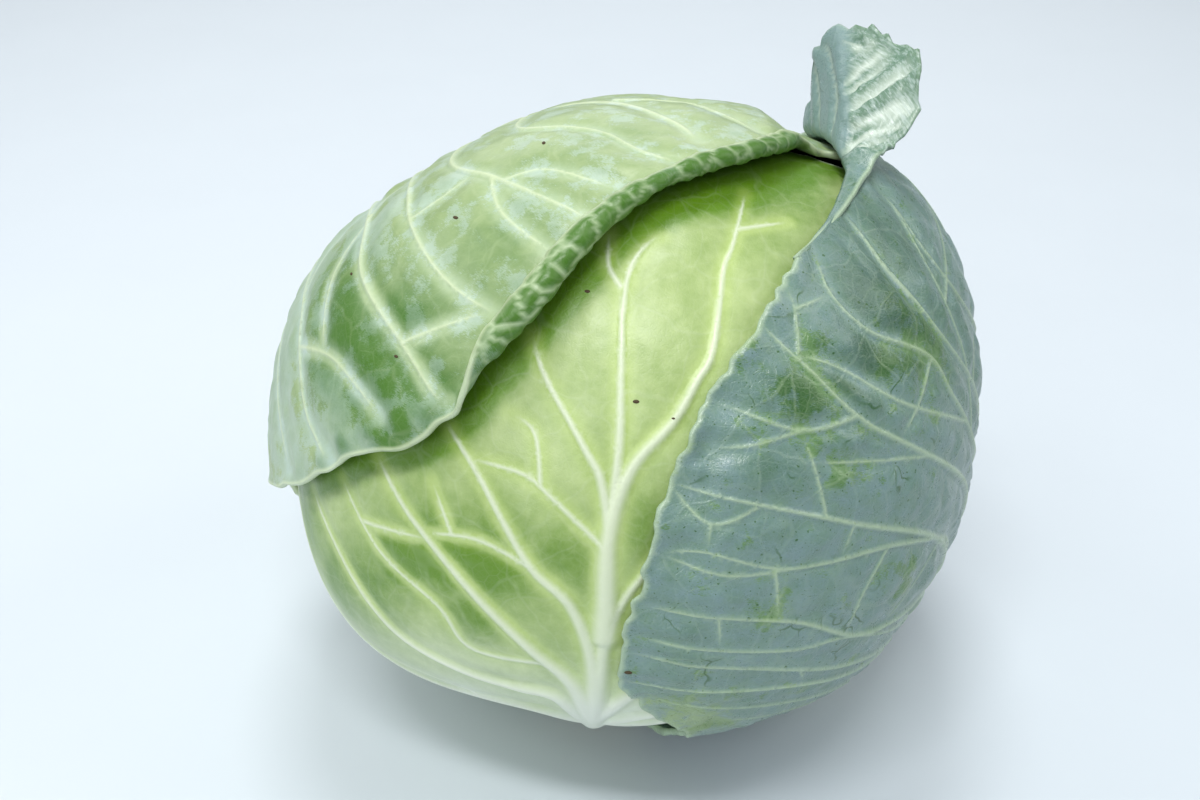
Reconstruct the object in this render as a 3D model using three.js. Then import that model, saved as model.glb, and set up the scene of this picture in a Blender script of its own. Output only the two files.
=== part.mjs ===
// White cabbage: a packed head, its cut stump and five wrapper leaves, two of them loose.
//
// The head leans back and a little to the right, so its stem end looks down and forward. Every leaf is
// a sheet laid over the head. A place on the head is a longitude and a latitude in degrees: longitude 0
// faces the front and grows to the right, latitude -90 is the stem and +90 the top of the head.
// Millimetres, +Z up, the origin on the floor below the middle of the head.

import * as THREE from "three";

// ---- driving dimensions ----

const EQUATOR_RADIUS = 93;      // head, across its axis
const POLE_RADIUS = 82;         // head, from its middle to either end of its axis
const SQUARENESS = 2.3;         // 2 is an ellipsoid, more is boxier
const CENTRE_HEIGHT = 86;       // middle of the head above the floor
const LEAN_BACK = 20;           // degrees, axis of the head from upright
const LEAN_RIGHT = 6.6;         // degrees
const LEAN_VIEW = 33;           // degrees below level, the line that the sideways lean turns about
const REST_DEPTH = 5.2;         // height at which the weight flattens the head underneath
const REST_BLEND = 8;           // how softly the flat runs into the round
const SWELLINGS = [             // place, spread in degrees and height of each soft swelling or hollow
  [-90, 44, 26, -9.8],
  [84, 51, 19, 5],
  [78, 8, 20, -2.8],
  [67, -22, 17, -4.5],
  [40, -50, 16, -4.2],
  [-18, -58, 18, -2.7],
  [-58, -36, 20, 4.3],
];

const SHEET = 1.6;              // thickness of a leaf
const LAYER = {                 // underside of each leaf above the head's nominal surface
  heart: -7.4,
  side_leaf: -5.9,
  back_leaf: -3.0,
  front_leaf: -0.5,
  left_leaf: 1.7,
  right_leaf: 4.7,
};

const PLAN_RADIUS = 90;         // radius that turns angles on the head into lengths on a leaf's plan
const BASE_LATITUDE = -78;      // where leaf bases stop, just outside the stump
const BASE_HALF_WIDTH = 58;     // degrees of longitude either side of a leaf's midrib, at its base
const FRONT_RIB = { wide: 24, narrow: 3, tall: 5 };   // midrib: width at its base and tip, height at its base
const LOOSE_RIB = { wide: 22, narrow: 4, tall: 3 };
const STUMP_RADIUS = 14.5;
const STUMP_LENGTH = 8;
const STUMP_ROUND = 1;          // its worn edges
const STUMP_GAP = 0.6;          // clear of the packed head

const LOOSE_LIFT = 4.6;         // how far the left leaf stands off the head
const LOOSE_LIFT_AT_FLOOR = 1.6;
const LIFT_HEIGHTS = [10, 40];  // heights between which it goes from the one to the other
const LIFT_START = 9;           // how far outside the right leaf it begins to rise
const LIFT_RUN = 15;            // and the distance over which it rises
const ROLL_LENGTH = 10;         // left leaf: length of edge that is rolled back, and where it hardly is
const ROLL_SHORT = 4;
const ROLL_ANGLE = 200;         // degrees, and where it hardly rolls
const ROLL_SLIGHT = 12;
const ROLL_GROWS = [0.2, 0.42]; // shares of the edge, from its front corner, where the roll grows
const ROLL_FADES = [0.78, 0.91];
const ROLL_INSET = 5;           // how far the roll bulges past the line where it starts to bend
const TIP_SHORTEST = 0.8;       // right leaf: length of sheet past the fold where the raised tip ends

// ---- small tools ----

const radians = THREE.MathUtils.degToRad;

function smooth(x, [from, to] = [0, 1]) {
  return THREE.MathUtils.smoothstep(x, from, to);
}

// ---- the head's own axes and surface ----

const viewLine = new THREE.Vector3(0, -Math.cos(radians(LEAN_VIEW)), Math.sin(radians(LEAN_VIEW)));
const leanBack = new THREE.Quaternion().setFromAxisAngle(new THREE.Vector3(1, 0, 0), -radians(LEAN_BACK));
const headTurn = new THREE.Quaternion().setFromAxisAngle(viewLine, -radians(LEAN_RIGHT)).multiply(leanBack);
const headCentre = new THREE.Vector3(0, 0, CENTRE_HEIGHT);

function directionAt(longitude, latitude) {
  const [lon, lat] = [radians(longitude), radians(latitude)];
  return new THREE.Vector3(
    Math.sin(lon) * Math.cos(lat), -Math.cos(lon) * Math.cos(lat), Math.sin(lat));
}

const swellings = SWELLINGS.map(([longitude, latitude, spread, height]) => (
  { towards: directionAt(longitude, latitude), spread: radians(spread), height }));

// Distance from the head's middle to its surface along a direction in the head's own axes.
function headRadius(direction) {
  const across = Math.hypot(direction.x, direction.y) / EQUATOR_RADIUS;
  const along = Math.abs(direction.z) / POLE_RADIUS;
  let round = (across ** SQUARENESS + along ** SQUARENESS) ** (-1 / SQUARENESS);
  for (const { towards, spread, height } of swellings) {
    round += height * Math.exp(-((direction.angleTo(towards) / spread) ** 2));
  }
  const down = -direction.clone().applyQuaternion(headTurn).z;
  if (down < 0.05) return round;
  const flat = (CENTRE_HEIGHT - REST_DEPTH) / down;
  const share = THREE.MathUtils.clamp(0.5 + (0.5 * (flat - round)) / REST_BLEND, 0, 1);
  return flat * (1 - share) + round * share - REST_BLEND * share * (1 - share);
}

function localPoint(direction) {
  return direction.clone().multiplyScalar(headRadius(direction));
}

// Point and outward normal of the head's surface, raised by a height.
function headSurface(direction, height) {
  const helper = new THREE.Vector3(0.3, 0.2, 0.93);
  const sideways = new THREE.Vector3().crossVectors(direction, helper).normalize();
  const forward = new THREE.Vector3().crossVectors(direction, sideways);
  const step = 1e-3;
  const point = localPoint(direction);
  const a = localPoint(direction.clone().addScaledVector(sideways, step).normalize()).sub(point);
  const b = localPoint(direction.clone().addScaledVector(forward, step).normalize()).sub(point);
  const normal = a.cross(b).normalize();
  if (normal.dot(direction) < 0) normal.negate();
  point.addScaledVector(normal, height).applyQuaternion(headTurn).add(headCentre);
  return { point, normal: normal.applyQuaternion(headTurn) };
}

// ---- a leaf's plan: the leaf spread flat around a middle place on the head ----

class Plan {
  constructor(longitude, latitude) {
    this.middle = directionAt(longitude, latitude);
    this.east = new THREE.Vector3(Math.cos(radians(longitude)), Math.sin(radians(longitude)), 0);
    this.north = new THREE.Vector3().crossVectors(this.middle, this.east).normalize();
    if (this.north.z < 0) this.north.negate();
  }

  toDirection(spot) {
    const reach = Math.max(spot.length(), 1e-9);
    const tangent = this.east.clone().multiplyScalar(spot.x / reach);
    tangent.addScaledVector(this.north, spot.y / reach);
    const angle = reach / PLAN_RADIUS;
    return this.middle.clone().multiplyScalar(Math.cos(angle)).addScaledVector(tangent, Math.sin(angle));
  }

  fromDirection(direction) {
    const angle = Math.acos(THREE.MathUtils.clamp(direction.dot(this.middle), -1, 1));
    const spot = new THREE.Vector2(direction.dot(this.east), direction.dot(this.north));
    return spot.setLength(PLAN_RADIUS * angle);
  }

  place(longitude, latitude) {
    return this.fromDirection(directionAt(longitude, latitude));
  }

  curve(places) {
    return new THREE.SplineCurve(places.map(([longitude, latitude]) => this.place(longitude, latitude)));
  }
}

// ---- outlines on the plan ----

// The same curve moved towards its left, and less and less over its second half.
function movedAside(curve, depth) {
  const pieces = 40;
  const spots = [];
  for (let i = 0; i <= pieces; i++) {
    const u = i / pieces;
    const tangent = curve.getTangentAt(u);
    const reach = depth * smooth(1 - u, [0, 0.5]);
    spots.push(curve.getPointAt(u).addScaledVector(new THREE.Vector2(-tangent.y, tangent.x), reach));
  }
  return new THREE.SplineCurve(spots);
}

// The bottom of a leaf, an arc around the stump centred on the midrib.
function basePlaces(midrib) {
  const places = [];
  for (let step = -2; step <= 2; step++) {
    places.push([midrib + (step / 2) * BASE_HALF_WIDTH, BASE_LATITUDE]);
  }
  return places;
}

// Spots that fill the area between four border curves: bottom and top run the same way, and so do
// the two sides, from bottom to top.
function fillBorders(bottom, top, near, far, across, up) {
  const rows = [];
  const corners = [bottom.getPointAt(0), bottom.getPointAt(1), top.getPointAt(0), top.getPointAt(1)];
  for (let j = 0; j <= up; j++) {
    const v = j / up;
    const row = [];
    for (let i = 0; i <= across; i++) {
      const u = i / across;
      const spot = bottom.getPointAt(u).multiplyScalar(1 - v);
      spot.addScaledVector(top.getPointAt(u), v);
      spot.addScaledVector(near.getPointAt(v), 1 - u);
      spot.addScaledVector(far.getPointAt(v), u);
      spot.addScaledVector(corners[0], -(1 - u) * (1 - v));
      spot.addScaledVector(corners[1], -u * (1 - v));
      spot.addScaledVector(corners[2], -(1 - u) * v);
      spot.addScaledVector(corners[3], -u * v);
      row.push(spot);
    }
    rows.push(row);
  }
  return rows;
}

function distanceToLine(spot, line) {
  let best = Infinity;
  for (let i = 0; i + 1 < line.length; i++) {
    const along = line[i + 1].clone().sub(line[i]);
    const share = THREE.MathUtils.clamp(spot.clone().sub(line[i]).dot(along) / along.lengthSq(), 0, 1);
    best = Math.min(best, spot.distanceTo(line[i].clone().addScaledVector(along, share)));
  }
  return best;
}

function isInside(spot, outline) {
  let inside = false;
  for (let i = 0; i < outline.length; i++) {
    const [a, b] = [outline[i], outline[(i + 1) % outline.length]];
    if ((a.y > spot.y) === (b.y > spot.y)) continue;
    if (spot.x < ((b.x - a.x) * (spot.y - a.y)) / (b.y - a.y) + a.x) inside = !inside;
  }
  return inside;
}

// Height of a midrib above the leaf: a rounded ridge that narrows from the base to its tip.
function ridgeHeight(spot, line, { wide, narrow, tall }) {
  let best = Infinity;
  let place = 0;
  for (let i = 0; i + 1 < line.length; i++) {
    const distance = distanceToLine(spot, [line[i], line[i + 1]]);
    if (distance >= best) continue;
    best = distance;
    place = i / (line.length - 1);
  }
  const half = THREE.MathUtils.lerp(wide, narrow, place) / 2;
  return THREE.MathUtils.lerp(tall, 0, place) * smooth(1.5 - best / half);
}

// ---- bending a sheet outward past a line ----

// Walks out from the line along a path whose angle grows, and gives how far it goes out along the head,
// how far up from it, and the angle at its end.
function bendPath(length, angleAt) {
  const steps = 24;
  const stride = length / steps;
  let [out, up] = [0, 0];
  for (let k = 0; k < steps; k++) {
    const angle = angleAt((k + 0.5) * stride);
    out += Math.cos(angle) * stride;
    up += Math.sin(angle) * stride;
  }
  return { out, up, angle: angleAt(length) };
}

// The point of a bent sheet: spot is on the line, outward is the way past it on the plan.
function bentPoint(plan, spot, outward, length, height, thickness, angleAt) {
  const base = headSurface(plan.toDirection(spot), height + thickness / 2);
  const ahead = plan.toDirection(spot.clone().addScaledVector(outward, 0.5));
  const away = headSurface(ahead, height + thickness / 2).point.sub(base.point);
  away.addScaledVector(base.normal, -away.dot(base.normal)).normalize();
  const path = bendPath(length, angleAt);
  const normal = base.normal.clone().multiplyScalar(Math.cos(path.angle));
  normal.addScaledVector(away, -Math.sin(path.angle));
  const middle = base.point.clone().addScaledVector(away, path.out).addScaledVector(base.normal, path.up);
  return {
    outer: middle.clone().addScaledVector(normal, thickness / 2),
    inner: middle.clone().addScaledVector(normal, -thickness / 2),
  };
}

function lyingPoint(plan, spot, height, thickness, ridge = 0) {
  const direction = plan.toDirection(spot);
  return {
    outer: headSurface(direction, height + thickness + ridge).point,
    inner: headSurface(direction, height).point,
  };
}

// ---- turning rows of outer and inner points into a closed sheet ----

function closedSheet(rows) {
  const [up, across] = [rows.length, rows[0].length];
  const positions = [];
  for (const side of ["outer", "inner"]) {
    for (const row of rows) {
      for (const cell of row) {
        const point = cell[side];
        positions.push(point.x, point.y, Math.max(point.z, 0));
      }
    }
  }
  const outer = (j, i) => j * across + i;
  const inner = (j, i) => up * across + j * across + i;
  const faces = [];
  const quad = (a, b, c, d) => faces.push(a, b, c, a, c, d);
  for (let j = 0; j + 1 < up; j++) {
    for (let i = 0; i + 1 < across; i++) {
      quad(outer(j, i), outer(j, i + 1), outer(j + 1, i + 1), outer(j + 1, i));
      quad(inner(j, i), inner(j + 1, i), inner(j + 1, i + 1), inner(j, i + 1));
    }
  }
  for (let i = 0; i + 1 < across; i++) {
    quad(inner(0, i), inner(0, i + 1), outer(0, i + 1), outer(0, i));
    quad(outer(up - 1, i), outer(up - 1, i + 1), inner(up - 1, i + 1), inner(up - 1, i));
  }
  for (let j = 0; j + 1 < up; j++) {
    quad(outer(j, 0), outer(j + 1, 0), inner(j + 1, 0), inner(j, 0));
    quad(inner(j, across - 1), inner(j + 1, across - 1), outer(j + 1, across - 1), outer(j, across - 1));
  }
  const geometry = new THREE.BufferGeometry();
  geometry.setAttribute("position", new THREE.Float32BufferAttribute(positions, 3));
  geometry.setIndex(faces);
  geometry.computeVertexNormals();
  return geometry;
}

function part(name, geometry, color, roughness) {
  const material = new THREE.MeshStandardMaterial({ color, roughness, metalness: 0 });
  const mesh = new THREE.Mesh(geometry, material);
  mesh.name = name;
  return mesh;
}

// ---- the right leaf's borders, which the left leaf also keeps clear of ----

const rightPlan = new Plan(60, 5);

const RIGHT_FRONT_EDGE = [
  [37, -78], [30, -62], [24, -50], [18, -42], [12, -37], [6, -32], [2.5, -27], [2, -20], [3, -10],
  [4.5, 0], [6, 8], [8.5, 15], [13, 22], [18, 29.5], [24, 36],
];
const RIGHT_BACK_EDGE = [
  [153, -78], [182, -64], [197, -42], [201, -12], [198, 16], [186, 40], [162, 55], [132, 62], [104, 61],
];

// The fold where the tip of the right leaf leaves the head, from its front edge to its back edge. Each
// row is a place, the reach of the sheet past the fold, how far it rises before it flares, the angle
// at which it rises, the angle of the flare, how far it turns sideways, and the length of the bend.
const FOLD = [
  [24, 36, TIP_SHORTEST, 0, 100, 110, 0, 4],
  [34, 42, 3, 0, 100, 120, 0, 4],
  [44, 47.5, 5, 0, 105, 130, 0, 4.5],
  [52, 51, 7, 0, 110, 140, 0, 4.5],
  [59, 53.5, 13, 0, 108, 145, 0, 5],
  [64, 55.3, 24, 3, 95, 138, -4, 5],
  [68, 56.8, 33, 9, 86, 124, -6, 6],
  [72, 58, 33.5, 16, 81, 118, -4, 6],
  [76, 59.2, 32.5, 22, 77, 114, -1, 6],
  [81, 60.2, 29, 24, 73, 104, 2, 6],
  [86, 61, 24, 22, 70, 90, 0, 6],
  [91, 61.5, 15, 15, 76, 84, 0, 6],
  [97, 61.8, 9.5, 9, 80, 80, 2, 6],
  [104, 61, 3, 0, 60, 60, 0, 6],
];
const FLARE_LENGTH = 9;

const rightBase = rightPlan.curve(basePlaces(95));
const rightFront = rightPlan.curve(RIGHT_FRONT_EDGE);
const rightBack = rightPlan.curve(RIGHT_BACK_EDGE);
const rightFold = rightPlan.curve(FOLD);
const rightBorder = [
  ...rightFront.getSpacedPoints(60),
  ...rightFold.getSpacedPoints(40).slice(1),
  ...rightBack.getSpacedPoints(60).reverse().slice(1),
  ...rightBase.getSpacedPoints(12).reverse().slice(1),
];

// ---- the leaves ----

function rightLeaf() {
  const [across, up, tip] = [32, 18, 6];
  const height = LAYER.right_leaf;
  const midrib = rightPlan.curve([[95, -78], [94, -50], [92, -20], [89, 10], [86, 40]]).getSpacedPoints(12);
  const rows = fillBorders(rightBase, rightFold, rightFront, rightBack, across, up).map((row) =>
    row.map((spot) => lyingPoint(rightPlan, spot, height, SHEET, ridgeHeight(spot, midrib, LOOSE_RIB))));

  // the same curve through every column of FOLD, so that a place on the fold has all of its values
  const shape = (column) => new THREE.SplineCurve(FOLD.map((row, i) => new THREE.Vector2(i, row[column])));
  const columns = [2, 3, 4, 5, 6, 7].map(shape);
  const zero = new THREE.Vector2();
  for (let j = 1; j <= tip; j++) {
    const row = [];
    for (let i = 0; i <= across; i++) {
      const along = rightFold.getUtoTmapping(i / across);
      const [reach, rise, lift, flare, turn, bend] = columns.map((curve) => curve.getPoint(along).y);
      const tangent = rightFold.getTangent(along);
      const outward = new THREE.Vector2(-tangent.y, tangent.x).rotateAround(zero, -radians(turn));
      const flared = (s) => smooth((s - Math.max(rise, 0)) / FLARE_LENGTH);
      const angleAt = (s) => radians(lift * smooth(s / bend) + (flare - lift) * flared(s));
      const length = (Math.max(reach, TIP_SHORTEST) * j) / tip;
      row.push(bentPoint(rightPlan, rightFold.getPoint(along), outward, length, height, SHEET, angleAt));
    }
    rows.push(row);
  }
  return closedSheet(rows);
}

function leftLeaf() {
  const plan = new Plan(-60, 25);
  const [across, up, roll] = [30, 20, 6];
  const height = LAYER.left_leaf;
  const shown = plan.curve([
    [-74, -14], [-62, -12], [-50, -7], [-39, 0], [-30, 3], [-25, 8], [-20, 16], [-14, 25], [-9, 34],
    [-2, 42], [8, 48.5], [19, 53], [31, 57], [44, 60.5], [57, 62.5], [70, 61], [84, 54],
  ]);
  const edge = movedAside(shown, ROLL_INSET);
  const base = plan.curve(basePlaces(-127.5).reverse());
  const near = plan.curve([[-69.5, -78], [-84, -62], [-97, -44], [-99, -30], [-90, -19]]);
  near.points.push(edge.getPoint(0));
  const far = plan.curve([
    [-185.5, -78], [-200, -60], [-204, -30], [-204, 0], [-206, 25], [-216, 41], [-236, 48], [-258, 50],
    [-278, 50],
  ]);
  const midrib = plan.curve([[-127.5, -78], [-127, -50], [-126, -20], [-124, 15], [-118, 45], [-60, 74]]);
  const midribLine = midrib.getSpacedPoints(14);

  // stands off the head except under the right leaf and under the head
  const lift = (spot) => {
    const direction = plan.toDirection(spot);
    const other = rightPlan.fromDirection(direction);
    if (isInside(other, rightBorder)) return 0;
    const above = smooth(headSurface(direction, 0).point.z, LIFT_HEIGHTS);
    const free = THREE.MathUtils.lerp(LOOSE_LIFT_AT_FLOOR, LOOSE_LIFT, above);
    return free * smooth((distanceToLine(other, rightBorder) - LIFT_START) / LIFT_RUN);
  };
  const rows = fillBorders(base, edge, near, far, across, up).map((row) =>
    row.map((spot) => {
      const ridge = ridgeHeight(spot, midribLine, LOOSE_RIB);
      return lyingPoint(plan, spot, height + lift(spot), SHEET, ridge);
    }));

  // the rolled edge, fading out at the front corner and where it goes under the right leaf
  for (let j = 1; j <= roll; j++) {
    const row = [];
    for (let i = 0; i <= across; i++) {
      const u = i / across;
      const spot = edge.getPointAt(u);
      const tangent = edge.getTangentAt(u);
      const outward = new THREE.Vector2(tangent.y, -tangent.x);
      const strength = smooth(u, ROLL_GROWS) * (1 - smooth(u, ROLL_FADES));
      const fullAngle = radians(THREE.MathUtils.lerp(ROLL_SLIGHT, ROLL_ANGLE, strength));
      const angleAt = (s) => fullAngle * smooth(s / ROLL_LENGTH);
      const length = (THREE.MathUtils.lerp(ROLL_SHORT, ROLL_LENGTH, strength) * j) / roll;
      row.push(bentPoint(plan, spot, outward, length, height + lift(spot), SHEET, angleAt));
    }
    rows.push(row);
  }
  return closedSheet(rows.map((row) => row.reverse()));   // the borders ran from right to left
}

// A leaf that hugs the head, the same shape for each: only its place, layer and midrib differ.
function huggingLeaf(longitude, height, [across, up], rib) {
  const plan = new Plan(longitude, 0);
  const at = (places) => plan.curve(places.map(([aside, latitude]) => [longitude + aside, latitude]));
  const base = plan.curve(basePlaces(longitude));
  const near = at([[-BASE_HALF_WIDTH, -78], [-84, -58], [-98, -28], [-97, 4], [-84, 38]]);
  const far = at([[BASE_HALF_WIDTH, -78], [84, -58], [98, -28], [97, 4], [84, 38]]);
  const top = at([[-84, 38], [-60, 54], [-28, 68], [0, 71], [28, 68], [60, 54], [84, 38]]);
  const midrib = at([[0, -78], [0, -50], [0, -20], [0, 10], [-2, 34]]).getSpacedPoints(12);
  const rows = fillBorders(base, top, near, far, across, up).map((row) =>
    row.map((spot) => {
      const ridge = rib ? ridgeHeight(spot, midrib, rib) : 0;
      return lyingPoint(plan, spot, height, SHEET, ridge);
    }));
  return closedSheet(rows);
}

// ---- the packed head and the stump ----

function heart() {
  const geometry = new THREE.SphereGeometry(1, 36, 24);
  geometry.rotateX(Math.PI / 2);
  const positions = geometry.attributes.position;
  const direction = new THREE.Vector3();
  for (let i = 0; i < positions.count; i++) {
    direction.fromBufferAttribute(positions, i).normalize();
    const { point } = headSurface(direction, LAYER.heart);
    positions.setXYZ(i, point.x, point.y, point.z);
  }
  return geometry;
}

// The stump starts just outside the packed head, and its profile runs from its cut end.
function stump() {
  const start = -(POLE_RADIUS + LAYER.heart + STUMP_GAP);
  const end = start - STUMP_LENGTH;
  const rounded = STUMP_RADIUS - STUMP_ROUND;
  const profile = [
    [0, end], [rounded, end], [STUMP_RADIUS, end + STUMP_ROUND],
    [STUMP_RADIUS, start - STUMP_ROUND], [rounded, start], [0, start],
  ].map(([radius, along]) => new THREE.Vector2(radius, along));
  const geometry = new THREE.LatheGeometry(profile, 28);
  geometry.rotateX(Math.PI / 2);
  geometry.applyQuaternion(headTurn);
  geometry.translate(headCentre.x, headCentre.y, headCentre.z);
  return geometry;
}

// ---- the cabbage ----

const cabbage = new THREE.Group();
cabbage.add(part("stem", stump(), 0xe3e4c8, 0.7));
cabbage.add(part("heart", heart(), 0xdfe9c0, 0.5));
cabbage.add(part("side_leaf", huggingLeaf(-75, LAYER.side_leaf, [20, 18]), 0xb5cb86, 0.45));
cabbage.add(part("back_leaf", huggingLeaf(147.5, LAYER.back_leaf, [20, 18]), 0xafc688, 0.45));
cabbage.add(part("front_leaf", huggingLeaf(-2, LAYER.front_leaf, [28, 22], FRONT_RIB), 0xc3d8a2, 0.35));
cabbage.add(part("left_leaf", leftLeaf(), 0x9bb889, 0.45));
cabbage.add(part("right_leaf", rightLeaf(), 0x84a196, 0.5));

export default cabbage;
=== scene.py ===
import math

import bpy
import numpy as np
from mathutils import Matrix, Vector
from mathutils.geometry import delaunay_2d_cdt
from mathutils.kdtree import KDTree


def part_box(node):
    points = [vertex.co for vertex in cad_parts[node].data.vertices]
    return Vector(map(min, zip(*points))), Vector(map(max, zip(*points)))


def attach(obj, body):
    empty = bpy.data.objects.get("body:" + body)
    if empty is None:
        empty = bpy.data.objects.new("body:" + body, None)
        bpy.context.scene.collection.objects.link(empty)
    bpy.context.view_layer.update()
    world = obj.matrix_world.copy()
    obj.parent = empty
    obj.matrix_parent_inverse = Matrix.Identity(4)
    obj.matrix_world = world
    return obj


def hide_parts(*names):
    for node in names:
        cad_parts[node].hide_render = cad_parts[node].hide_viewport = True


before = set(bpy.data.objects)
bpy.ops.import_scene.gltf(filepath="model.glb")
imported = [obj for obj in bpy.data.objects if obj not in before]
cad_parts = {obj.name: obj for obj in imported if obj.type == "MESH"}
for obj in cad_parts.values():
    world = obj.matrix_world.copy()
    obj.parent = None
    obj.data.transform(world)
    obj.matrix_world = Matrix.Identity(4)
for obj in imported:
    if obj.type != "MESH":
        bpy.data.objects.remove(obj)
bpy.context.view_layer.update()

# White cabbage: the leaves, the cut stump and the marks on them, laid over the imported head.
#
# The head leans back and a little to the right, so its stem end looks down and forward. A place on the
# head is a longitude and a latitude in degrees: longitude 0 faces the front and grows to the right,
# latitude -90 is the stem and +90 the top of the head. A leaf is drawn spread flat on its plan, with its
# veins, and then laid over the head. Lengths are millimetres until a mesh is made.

MILLIMETRE = 0.001
PLAN_UNIT = 100                 # millimetres of a leaf's plan for one unit of its UV map

# ---- driving dimensions, the same as the solids' ----

EQUATOR_RADIUS = 93             # head, across its axis
POLE_RADIUS = 82                # head, from its middle to either end of its axis
SQUARENESS = 2.3                # 2 is an ellipsoid, more is boxier
CENTRE_HEIGHT = 86              # middle of the head above the floor
LEAN_BACK = 20                  # degrees
LEAN_RIGHT = 6.6
LEAN_VIEW = 33                  # degrees below level, the line that the sideways lean turns about
REST_DEPTH = 5.2                # height at which the weight flattens the head underneath
REST_BLEND = 8                  # how softly the flat runs into the round
SWELLINGS = [                   # place, spread in degrees and height of each soft swelling or hollow
    (-90, 44, 26, -9.8), (84, 51, 19, 5), (78, 8, 20, -2.8), (67, -22, 17, -4.5), (40, -50, 16, -4.2),
    (-18, -58, 18, -2.7), (-58, -36, 20, 4.3),
]
SHEET = 1.6                     # thickness of a leaf's solid
LAYER = {                       # underside of each leaf above the head's nominal surface
    "side_leaf": -5.9, "back_leaf": -3.0, "front_leaf": -0.5, "left_leaf": 1.7, "right_leaf": 4.7,
}
PLAN_RADIUS = 90                # radius that turns angles on the head into lengths on a leaf's plan
BASE_LATITUDE = -78             # where leaf bases stop, just outside the stump
BASE_HALF_WIDTH = 58            # degrees of longitude either side of a leaf's midrib, at its base
LOOSE_LIFT = 4.6                # how far the left leaf stands off the head
LOOSE_LIFT_AT_FLOOR = 1.6
LIFT_HEIGHTS = (10, 40)         # heights between which it goes from the one to the other
LIFT_START = 9                  # how far outside the right leaf it begins to rise
LIFT_RUN = 15                   # and the distance over which it rises
ROLL_SHORT = 4                  # left leaf: length of edge that hardly rolls
ROLL_ANGLE = 200                # degrees, where it is rolled back
ROLL_SLIGHT = 12                # and where it hardly rolls
ROLL_GROWS = (0.33, 0.45)       # shares of the edge, from its front corner; the solid's roll starts sooner
ROLL_FADES = (0.78, 0.91)
ROLL_INSET = 5                  # how far the roll bulges past the line where it starts to bend
TIP_SHORTEST = 0.8              # right leaf: length of sheet past the fold where the raised tip ends
FLARE_LENGTH = 9                # and the length over which the tip flares

# ---- driving dimensions of what the solids leave plain ----

MARGIN_THICKNESS = 0.9          # of a leaf
RIM_BULGE = 0.3                 # how far the rounded margin stands out
RIM_WAVES = [(0.6, 15), (0.4, 7), (0.15, 3.5)]      # height of each wave along a margin, and its size
VEIN_REACH = 12.0               # past this distance a spot isn't beside any vein
BRANCH_GAP = 9                  # a small vein that ends nearer than this to another is joined to it
RIB_FOOT = 1.9                  # half widths from a rib's middle to where its side meets the leaf
RIB_END = 7                     # length over which a rib runs out

HEART_LEAVES = 5
HEART_TWIST = 0.9               # leaf widths that an edge shifts from the middle of the head to either end
HEART_HEIGHTS = (-7.9, -7.0)    # above the head's nominal surface, where a leaf starts and at its edge
HEART_EDGE = 0.94               # share of a leaf's width where its edge steps down to the next
STUMP_RADIUS = 14.5
STUMP_ENDS = (-83.2, -75.2)     # along the head's axis
STUMP_ROUND = 1                 # its worn edges
STUMP_RINGS = [(2.2, 0.3), (3.5, 0.8), (4, -0.5)]       # insets of the cut face, and how far each rises
SPECKS = [                      # leaf, longitude, latitude, half its size
    ("right_leaf", 3.4, -25, 0.7), ("front_leaf", -0.9, 15, 0.55), ("front_leaf", -10.5, 30, 0.5),
    ("left_leaf", -30, 52.5, 0.6), ("left_leaf", -35, 36, 0.55), ("left_leaf", -52, 24, 0.45),
    ("left_leaf", -35, 15, 0.45), ("front_leaf", -62, -40, 0.4), ("front_leaf", 4, 14, 0.3),
]
SPECK_SHAPE = (1.4, 0.8, 0.5)   # length, width and height, as shares of the size

# ---- fineness of the leaves ----

FINE = 1.0                      # between points, where a leaf faces the front
COARSE = 1.8                    # and elsewhere
LINING = 3.0                    # on the side that faces the head
LINING_AT_RIM = 1.5             # the same within RIM_BAND of the outline, where the leaf faces the front
RIM_BAND = 12
RIM_STEP = 0.9                  # along a leaf's outline
VEIN_STEP = 2                   # along a vein
FRONT_SIDE = (0.25, -0.85, 0.5)     # what faces the front or the top leans this way by more than FRONT_LEAST
FRONT_LEAST = -0.12
JITTER = 0.12                   # how far spots lie out of an even spread, as a share of their spacing
REPEAT = 64                     # bumps or cells after which a pattern repeats


# ---- small tools ----

def smooth(x, start=0.0, end=1.0):
    """0 before start, 1 past end and smooth between them."""
    share = np.clip((np.asarray(x, float) - start) / (end - start), 0, 1)
    return share * share * (3 - 2 * share)


def within(x, start, full, fading, end):
    """1 from full to fading, and smoothly down to 0 at start and at end."""
    return smooth(x, start, full) * (1 - smooth(x, fading, end))


def lerp(a, b, share):
    return a + (b - a) * share


def unit(vectors):
    return vectors / np.linalg.norm(vectors, axis=-1, keepdims=True)


def lengths_along(line):
    """How far along the line each of its points is."""
    steps = np.linalg.norm(np.diff(line[:, :2], axis=0), axis=1)
    return np.concatenate([[0], np.cumsum(steps)])


def ring(outline):
    """An outline that ends where it began."""
    return np.vstack([outline, outline[:1]])


def sides(line):
    """At each point of a line, the directions along it and to its left."""
    along = unit(np.gradient(line, axis=0))
    return along, np.column_stack([-along[:, 1], along[:, 0]])


def evenly(line, step):
    """The same line with its points about a step apart."""
    along = lengths_along(line)
    at = np.linspace(0, along[-1], max(2, round(along[-1] / step)) + 1)
    return np.column_stack([np.interp(at, along, column) for column in line.T])


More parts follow.
